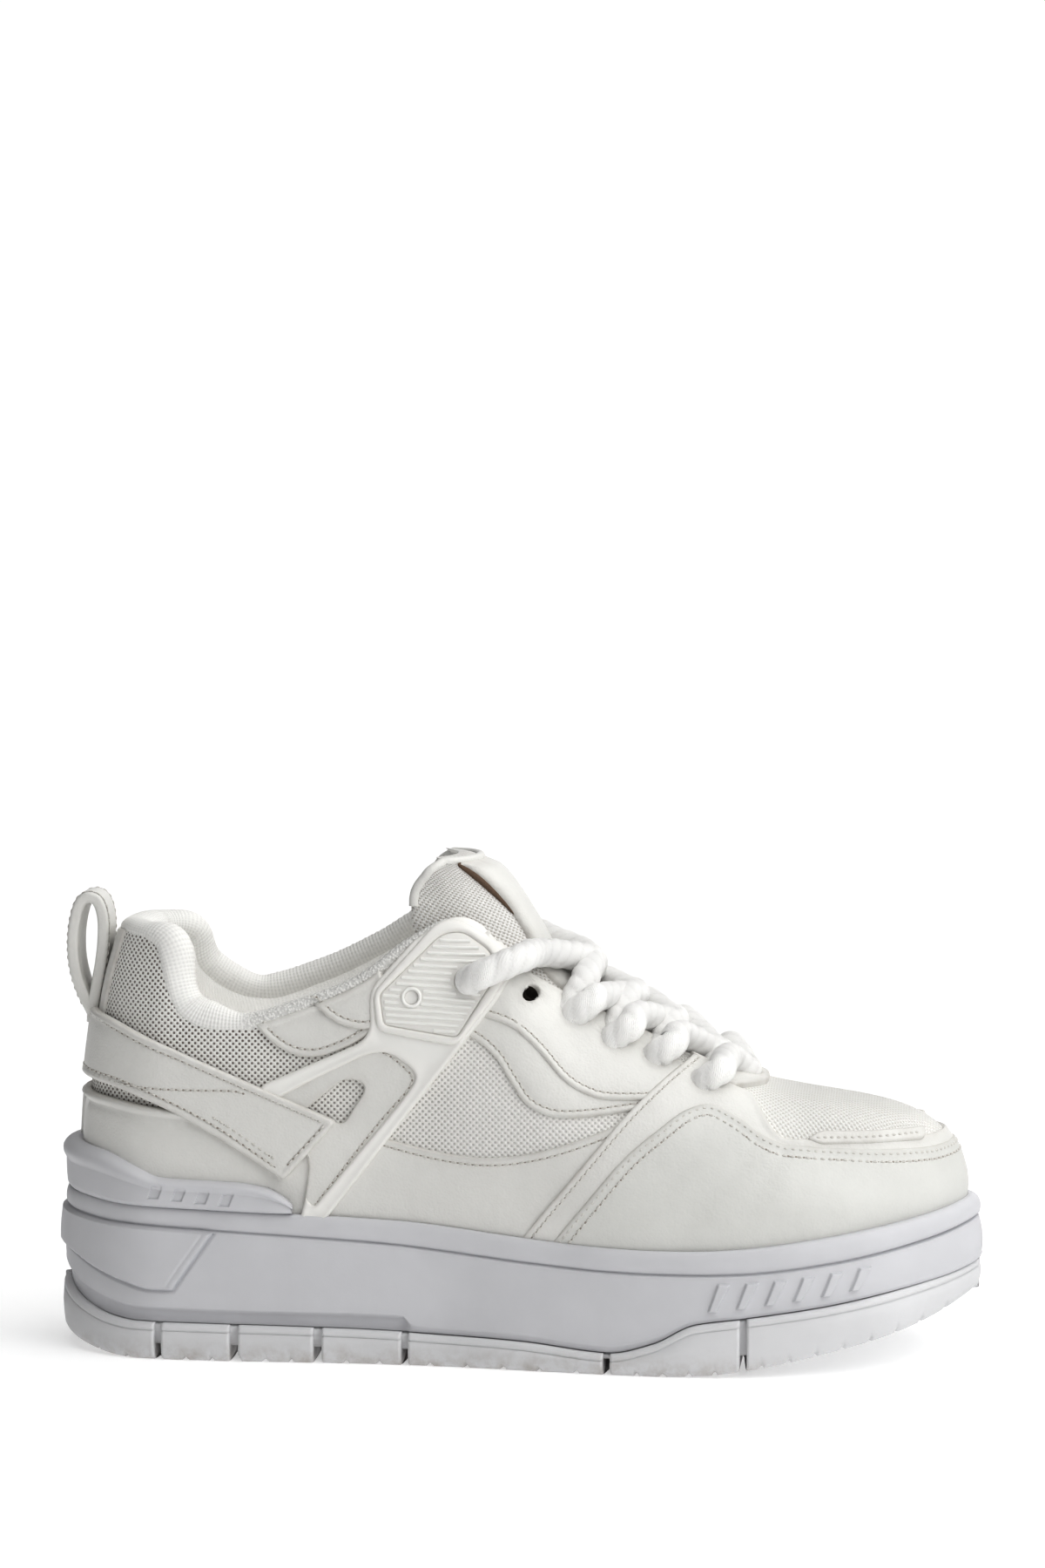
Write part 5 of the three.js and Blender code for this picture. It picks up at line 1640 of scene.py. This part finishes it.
def tongue_skin(u, s, out=0.0):
    """Outer face of the tongue, crowned between its edges and padded near its top."""
    u, s, out = np.broadcast_arrays(*(np.asarray(a, float) for a in (u, s, out)))
    _, _, reach, _, thick = tongue_frame(u)
    side = np.clip(s / reach, -1, 1)
    crown = np.sqrt(np.clip(1 - np.abs(side) ** 4, 0, 1))
    pillow = 0.9 * smoothstep(0.55, 0.9, u) * np.exp(-((s / 15) ** 4))
    return tongue_point(u, s, thick / 2 * (crown - 1) + pillow + out)


def tongue():
    """A padded, crowned body whose top is rounded over."""
    u = np.concatenate([np.linspace(0, 1, 90), np.full(9, 1.0)])
    lead = np.concatenate([np.zeros(90), np.linspace(0.1, 1, 9)])
    angles = full_turn(120)
    _, _, reach, _, thick = tongue_frame(u)
    tip = unit(tongue_frame(np.array([1.0]))[0] - tongue_frame(np.array([0.94]))[0])[0]
    cosine = np.cos(angles)
    side = np.sign(cosine) * np.abs(cosine) ** 0.8
    crown = np.sqrt(np.clip(1 - np.abs(side) ** 4, 0, 1))
    front = np.sin(angles) >= 0
    rows, uv = [], []
    for k in range(len(u)):
        shrink = math.sqrt(max(1 - lead[k] ** 2, 0.0004))
        s = side * reach[k] * (1 - 0.05 * lead[k] ** 2)
        pillow = 0.9 * smoothstep(0.55, 0.9, u[k]) * np.exp(-((s / 15) ** 4)) * front
        out = thick[k] / 2 * (np.where(front, crown, -crown) * shrink - 1) + pillow * shrink
        rows.append(tongue_point(np.full(len(angles), u[k]), s, out) + tip * 2.6 * lead[k])
        uv.append(np.stack([s, np.full(len(angles), u[k] * TONGUE_LENGTH)], 1))
    points = np.concatenate(rows)
    faces = grid_faces(len(rows), len(angles), wrap=True)
    n = len(angles)
    ring = np.arange(n)
    caps = np.concatenate([cap(ring), cap(ring + (len(rows) - 1) * n)])
    inner = np.sin(angles)[np.arange(len(faces)) % n] < -0.1
    kinds = np.concatenate([inner, np.ones(len(caps), bool)]).astype(int)
    made = make("tongue_padded", points, [np.concatenate([faces, caps])],
                [TONGUE_MESH, KNIT], uv=np.concatenate(uv), kinds=kinds,
                marks={"bead": np.zeros(len(points))})
    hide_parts("tongue")


tongue()
# The leather front of the tongue, as (share of the tongue's length, mm round it).
PATCH = [
    (0.12, 16), (0.30, 16.5), (0.45, 14.5), (0.55, 13), (0.66, 13.5), (0.76, 16), (0.86, 17.5),
    (0.93, 17), (0.975, 13), (0.985, 6),
]


def along_tongue(points, **more):
    """Smooth line through (share of the tongue's length, mm round it)."""
    return spline(np.array(points) * [TONGUE_LENGTH, 1], 1.0, **more) / [TONGUE_LENGTH, 1]


patch = along_tongue(PATCH + [(u, -s) for u, s in PATCH[::-1]], closed=True)
piece = panel(tongue_skin, patch, edge_profile(1.5, 0.7, 0.2, 1.1, 0.7, 0.2, 2.3), base=-1.0)
show("tongue_patch", piece, LEATHER)


def tube(path, radius, sides=14):
    """Rings of a tube along a dense path; radius may vary with the ring and the angle."""
    run = unit(np.gradient(path, axis=0))
    up = np.zeros_like(path)
    start = np.cross(run[0], [0, 0, 1.0])
    up[0] = unit(np.cross(start, run[0])[None])[0]
    for i in range(1, len(path)):
        carried = up[i - 1] - run[i] * (up[i - 1] @ run[i])
        up[i] = carried / max(np.linalg.norm(carried), 1e-9)
    other = np.cross(run, up)
    angle = full_turn(sides)
    r = np.broadcast_to(radius, (len(path), sides))
    points = (
        path[:, None]
        + up[:, None] * (r * np.cos(angle))[..., None]
        + other[:, None] * (r * np.sin(angle))[..., None]
    )
    faces = grid_faces(len(path), sides, wrap=True)
    return points.reshape(-1, 3), faces, np.repeat(path, sides, axis=0)


def on_tongue_tube(name, u, s, lift, radius, material):
    path = tongue_skin(np.asarray(u, float), np.asarray(s, float), lift)
    p, f, spine = tube(path, radius)
    make(name, p, [f], material, outward=p - spine, marks={"edge": np.zeros(len(p))})


up_side = np.linspace(0.7, 0.985, 50)
rim_reach = tongue_frame(up_side)[2] - 0.8
level_top = np.linspace(-1, 1, 40)[1:-1] * rim_reach[-1]
high = np.concatenate([up_side, 0 * level_top + 0.985, up_side[::-1]])
around_top = np.concatenate([-rim_reach, level_top, rim_reach[::-1]])
on_tongue_tube("tongue_binding", high, around_top, -0.2, 1.5, LEATHER)
# Dark tubes along the patch's edges: painted shade of the gap between the patch and the tongue.
for name, sign in (("tongue_gap_lateral", -1), ("tongue_gap_medial", 1)):
    gap = along_tongue([(0.62, 12.7), (0.68, 14.4), (0.76, 16.3), (0.86, 17.9), (0.93, 17.6), (0.965, 15.4)])
    width = 0.2 + 0.75 * np.sin(np.linspace(0, math.pi, len(gap)))[:, None]
    on_tongue_tube(name, gap[:, 0], sign * gap[:, 1], 0.35, width, TONGUE_GAP_SHADE)


# ---------------------------------------------------------------- insole
def insole():
    t = np.linspace(0, 1, 301)[:-1]
    point, n = plan_loop("foot", t)
    bed = level("rim", point[:, 0]) - CUP_DEPTH
    rows, uv = [], []
    for inset, up in ((3.3, 0.4), (3.2, 2.6), (3.6, 3.6), (4.6, 4.2), (7, 4.0), (10, 3.7), (15, 3.4)):
        ring = point - n * inset
        ring[:, 2] = bed + up
        rows.append(ring)
        uv.append(ring[:, :2])
    points = np.concatenate(rows)
    faces = stacked(rows, np.arange(1, len(t)), floor=False)
    made = make("insole_padded", points, [faces], LINING, uv=np.concatenate(uv),
                outward=np.tile([0.0, 0, 1], (len(points), 1)), marks={"bead": np.zeros(len(points))})
    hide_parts("insole")


insole()

# ---------------------------------------------------------------- pull loop
LOOP_WIDTH, LOOP_THICK = 16.0, 3.9
LOOP_LINE = [
    (13, 97), (10.6, 102), (7.9, 107.5), (6.0, 113), (5.0, 119), (5.0, 125.5), (5.9, 131.4),
    (7.6, 135.9), (10.2, 137.3), (12.8, 135.8), (14.2, 131), (14.2, 124.5), (13.4, 117.5), (12.2, 111),
    (11, 104.5), (10.6, 99),
]


def pull_loop():
    line = spline(LOOP_LINE, 0.8)
    run = unit(np.gradient(line, axis=0))
    side = np.stack([run[:, 1], -run[:, 0]], 1)
    half_w, half_t = LOOP_WIDTH / 2, LOOP_THICK / 2
    c, s = np.cos(full_turn(48)), np.sin(full_turn(48))
    section = np.stack([np.sign(c) * np.abs(c) ** 0.3 * half_w, np.sign(s) * np.abs(s) ** 0.5 * half_t], 1)
    near_edge = np.exp(-(((np.abs(section[:, 0]) - half_w + 1.9) / 0.5) ** 2)) * 0.25
    thick = section[:, 1] - np.sign(section[:, 1]) * near_edge
    x, z = (line[:, None, k] for k in (0, 1))
    points = vec(x + side[:, None, 0] * thick, section[:, 0], z + side[:, None, 1] * thick)
    centre = vec(x, section[:, 0] * 0.8, z)
    flat = points.reshape(-1, 3)
    made = make("pull_loop_strap", flat, [grid_faces(len(line), len(section), wrap=True)], LEATHER,
                outward=flat - centre.reshape(-1, 3),
                marks={"edge": np.full(len(flat), 0.1)})
    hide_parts("pull_loop")

    def face_of(u, w, out=0.0):
        u, w, out = np.broadcast_arrays(*(np.asarray(a, float) for a in (u, w, out)))
        at = np.stack([np.interp(u, np.linspace(0, 1, len(line)), c) for c in (*line.T, *side.T)], -1)
        reach = -(half_t + out)
        return vec(at[..., 0] + at[..., 2] * reach, w, at[..., 1] + at[..., 3] * reach)

    for w in (-half_w + 1.9, half_w - 1.9):
        row = np.stack([np.linspace(0.1, 0.93, 80), np.full(80, w)], 1)
        stitch(face_of, row, -0.15, pitch=2.4, length=1.7)


pull_loop()

# ---------------------------------------------------------------- laces
ROPE_RADIUS = 4.45
ROPE_LAY = 13.0  # length in which a strand goes once round
PLATE = 3.0


def rope_path(points):
    return spline(points, 0.62)


def rope_tube(path, shift):
    """Three strands twisted into a rope, as one wavy tube."""
    length = length_along(path)
    sides = 30
    turn = full_turn(sides) + (length[:, None] + shift) * (2 * math.pi / ROPE_LAY)
    hollow = np.abs(np.cos(1.5 * turn))
    lobes = 1.0 - 0.1 * (1 - hollow) ** 2
    breath = 1 + 0.03 * np.sin(length * 0.9 + shift)[:, None]
    radius = ROPE_RADIUS * lobes * breath
    p, faces, spine = tube(path, radius, sides)
    u = np.broadcast_to(turn * ROPE_RADIUS, radius.shape)
    v = np.broadcast_to(length[:, None], radius.shape)
    # The groove mark is high in the hollows between strands, where the rope's colour takes painted shade.
    groove = np.exp(-((hollow / 0.3) ** 2))
    return p, faces, np.stack([u, v], -1).reshape(-1, 2), p - spine, groove.ravel()


def tongue_at(x):
    u = np.linspace(0, 1, 400)
    return np.interp(-x, -tongue_frame(u)[0][:, 0], u)


def on_tongue(x, y, lift):
    return tongue_point(np.array(tongue_at(x)), np.array(float(y)), np.array(ROPE_RADIUS + 0.3 + lift))


def throat_edge_point(x):
    t = np.linspace(8 / 28, 14 / 28, 400)
    return upper_point(np.interp(x, around(LOOPS["topX"], t), t), 1.0)


def rising(k):
    """Points of a strand that comes up out of eyelet k and leans forward over the throat's edge."""
    t, v = eyelet_tv[k]
    point = skin(t, v)
    out = face_normal(t, v)
    lean = np.array([0.8, 0.0, 0.6])
    lean = unit((lean - out * (lean @ out))[None])[0]
    edge = throat_edge_point(eyelet_line[k, 0] + 5.5)
    over = edge + out * (ROPE_RADIUS + 0.2) + [0.4, 0.8, 0.9]
    return [
        point - out * 7 - lean * 1.5,
        point - out * 3 - lean * 0.9,
        point + out * 1.4 + lean * 0.6,
        point + out * (ROPE_RADIUS + 0.9) + lean * 4.6,
        over,
    ]


def flip(points):
    return [np.array(p) * [1, -1, 1] for p in points]


def under_edge(k):
    edge = throat_edge_point(eyelet_line[k, 0] + 1)
    y = -edge[1]
    return [
        on_tongue(edge[0], y - ROPE_RADIUS - 2.6, 0.4),
        on_tongue(edge[0] + 1.5, y + 2.5, -3.8),
        on_tongue(edge[0] + 3, y + 8, -8),
    ]


def plate_ribs():
    """Fine level ribs across both plates, broken by the holes."""
    corners = [corner[:2] for corner in PLATE_OUTLINE]
    lines = [(ring_on(SMALL_HOLE, 2.6), 0.55)]
    x = np.arange(99, 141, 0.5)
    for height in np.arange(94, 134, RIB_PITCH):
        z = height + RIB_SLOPE * (x - 110)
        shown = strip_mask(x, z, corners, 2.0) > 0.8
        for (hole_x, hole_z), clear in ((SMALL_HOLE, 3.5), (LACE_HOLE, 4.3)):
            shown &= np.hypot(x - hole_x, z - hole_z) > clear
        ends = np.flatnonzero(np.diff(np.concatenate([[0], shown, [0]])))
        for first, last in zip(ends[::2], ends[1::2]):
            if last - first >= 4:
                lines.append((on_side(np.stack([x[first:last], z[first:last]], 1)), 0.52))
    lines[0] = (np.concatenate([lines[0][0], lines[0][0][:2]]), lines[0][1])
    p, f = merged([
        tube(skin(tv[:, 0], tv[:, 1], PLATE_LIFT), thick, 8)[:2]
        for line, thick in lines for tv in (line, mirrored(line))
    ])
    make("plate_ribs", p, [f], MOULDED,
         outward=p - np.mean([p.min(0), p.max(0)], 0) * [1, 0, 1], marks={"edge": np.zeros(len(p))})


plate_ribs()


def laces():
    lowest = rising(EYELETS - 1)
    bar = [*lowest, on_tongue(lowest[-1][0] + 1.5, 0, 1.4), *flip(lowest)[::-1]]
    paths = [rope_path(bar)]
    for k in range(EYELETS - 2, 0, -1):
        rise = rising(k)
        middle = on_tongue((rise[-1][0] + rising(k + 1)[-1][0]) / 2, 0, 0.3)
        strand = [*rise, middle, *under_edge(k + 1)]
        paths += [rope_path(strand), rope_path(flip([s + [0, 0, 0.25] for s in strand]))]

    def on_plate(x, z, out):
        t, v = on_side([(x, z)])[0]
        return skin(t, v, out)

    x, z = LACE_HOLE
    top = [
        on_plate(x + 0.6, z - 0.4, -4.0),
        on_plate(x + 1.0, z - 0.2, 1.0),
        on_plate(x + 2.2, z + 0.1, PLATE + 2.2),
        on_plate(x + 6.0, z + 1.0, PLATE + ROPE_RADIUS + 0.8),
        on_plate(x + 11.5, z + 2.6, PLATE + ROPE_RADIUS + 1.0),
        np.array([x + 21, -18, z + 7.5]),
        on_tongue(157, -2, 2.2),
        *under_edge(1),
    ]
    paths += [rope_path(top), rope_path(flip([s + [0, 0, 0.3] for s in top]))]
    strands = [rope_tube(path, 4.7 * i) for i, path in enumerate(paths)]
    points, faces = merged([strand[:2] for strand in strands])
    uv, outward, groove = (np.concatenate([strand[k] for strand in strands]) for k in (2, 3, 4))
    made = make("lace_rope", points, [faces], ROPE, uv=uv, outward=outward,
                period=2 * math.pi * ROPE_RADIUS, marks={"groove": groove})
    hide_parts("laces")


laces()


# ---------------------------------------------------------------- eyelets
def eyelet_wells():
    """Sleeves through the upper's wall at each eyelet and at the plates' small holes, near-black with
    painted shade.
    """
    parts = []
    turn = full_turn(24)
    small = on_side([SMALL_HOLE])
    wells = [(tv, EYELET_RADIUS + 0.15, 1.5, -WALL - 0.6) for tv in eyelet_tv]
    wells += [(tv, 2.0, 2.4, 0.35) for tv in small]
    wells += [(np.array([1 - tv[0], tv[1]]), *rest) for tv, *rest in wells]
    for tv, radius, high, low in wells:
        n = face_normal(tv[0], tv[1])
        e1 = unit(slopes(skin, tv[:1], tv[1:])[0])[0]
        e2 = np.cross(n, e1)
        centre = skin(tv[0], tv[1])
        ring = e1 * np.cos(turn)[:, None] + e2 * np.sin(turn)[:, None]
        rows = [(radius, high), (radius, low), (radius * 0.6, low), (0.01, low)]
        rings = np.concatenate([centre + ring * r + n * h for r, h in rows])
        parts.append((rings, grid_faces(4, 24, wrap=True)[:, ::-1]))
    p, f = merged(parts)
    make("eyelet_wells", p, [f], HOLE_SHADE, outward=np.tile([0.0, 0, 1], (len(p), 1)))


eyelet_wells()

shape, quads = stitch_shape()
p, f, n = stamped(STITCHES, shape, quads, 0.72, 0.42, 0.12)
make("stitches", p, [f], THREAD, outward=p - p.mean(0))
# Dark discs at the stitch gaps, painted shade of the needle holes.
shape, triangles = hole_shape()
p, f, n = stamped(HOLES, shape, triangles, 0.62, 0.04, -0.03)
make("needle_hole_shade", p, [f], NEEDLE_HOLE_SHADE, outward=n)


# ---------------------------------------------------------------- camera, floor and light
YAW, TILT = math.radians(5), math.radians(8)
DISTANCE = 1.6  # m
FOCAL = 6008 / 1800  # focal length as a share of the picture's height
BACK = Vector((math.sin(YAW) * math.cos(TILT), -math.cos(YAW) * math.cos(TILT), math.sin(TILT)))
camera = bpy.data.objects.new("camera", bpy.data.cameras.new("camera"))
bpy.context.scene.collection.objects.link(camera)
aim = Vector(np.array([142.5, 0, 80]) * MM + SHIFT * MM)
camera.location = aim + BACK * DISTANCE
camera.rotation_euler = (-BACK).to_track_quat("-Z", "Y").to_euler()
camera.data.sensor_width = 36
camera.data.lens = 36 * FOCAL
camera.data.shift_x = -1 / 1800
camera.data.shift_y = 346 / 1800
camera.data.clip_end = 100
bpy.context.scene.camera = camera

# The light beside the toe, whose fall-off leaves the heel darker.
SOFTBOX_WATTS, SOFTBOX_AT, SOFTBOX_AIM = 0.85, (0.45, -0.42, 0.42), (0.05, 0, 0.06)
softbox = bpy.data.lights.new("toe softbox", "AREA")
softbox.shape, softbox.size, softbox.energy = "DISK", 0.45, SOFTBOX_WATTS
made = bpy.data.objects.new("toe softbox", softbox)
made.location = SOFTBOX_AT
aim = Vector(SOFTBOX_AIM) - made.location
made.rotation_euler = aim.to_track_quat("-Z", "Y").to_euler()
bpy.context.scene.collection.objects.link(made)

bpy.context.scene.view_settings.view_transform = "Standard"
bpy.context.scene.view_settings.look = "None"
bpy.context.scene.view_settings.gamma = 0.68
world = bpy.data.worlds.new("studio")
world.use_nodes = True
# A plain studio: one large soft light overhead, towards the toe, and a white wall behind.
ROOM, KEY, WALL_LIGHT = 0.03, 2.05, 1.0
KEY_FROM = (0.42, -0.15, 0.9)
room = world.node_tree


def room_node(kind, *inputs, **settings):
    made = room.nodes.new("ShaderNode" + kind)
    for name, value in settings.items():
        setattr(made, name, value)
    for socket, value in zip(made.inputs, inputs):
        if isinstance(value, bpy.types.NodeSocket):
            room.links.new(value, socket)
        else:
            socket.default_value = value
    return made


direction = room_node("TexCoord").outputs["Generated"]
towards = room_node("VectorMath", direction, KEY_FROM, operation="DOT_PRODUCT").outputs["Value"]
key = room_node("MapRange", towards, 0.45, 1.0, 0.0, KEY).outputs[0]
behind = room_node("SeparateXYZ", direction).outputs[1]
wall = room_node("MapRange", behind, 0.75, 0.93, ROOM, ROOM + WALL_LIGHT).outputs[0]
strength = room_node("Math", key, wall, operation="ADD").outputs[0]
room.nodes["Background"].inputs[0].default_value = (1, 1, 1, 1)
room.links.new(strength, room.nodes["Background"].inputs[1])
bpy.context.scene.world = world

FLOOR = 30.0  # m
backdrop = bpy.data.meshes.new("floor")
backdrop.from_pydata(
    [(-FLOOR, -FLOOR, 0), (FLOOR, -FLOOR, 0), (FLOOR, FLOOR, 0), (-FLOOR, FLOOR, 0)], [], [(0, 1, 2, 3)]
)
floor = bpy.data.objects.new("floor", backdrop)
paper = Shade("paper")
backdrop.materials.append(paper.finish(
    rgb(0.66, 0.66, 0.66), 0.9, Specular_IOR_Level=0.0, Emission_Color=rgb(1, 1, 1), Emission_Strength=0.46,
))
bpy.context.scene.collection.objects.link(floor)
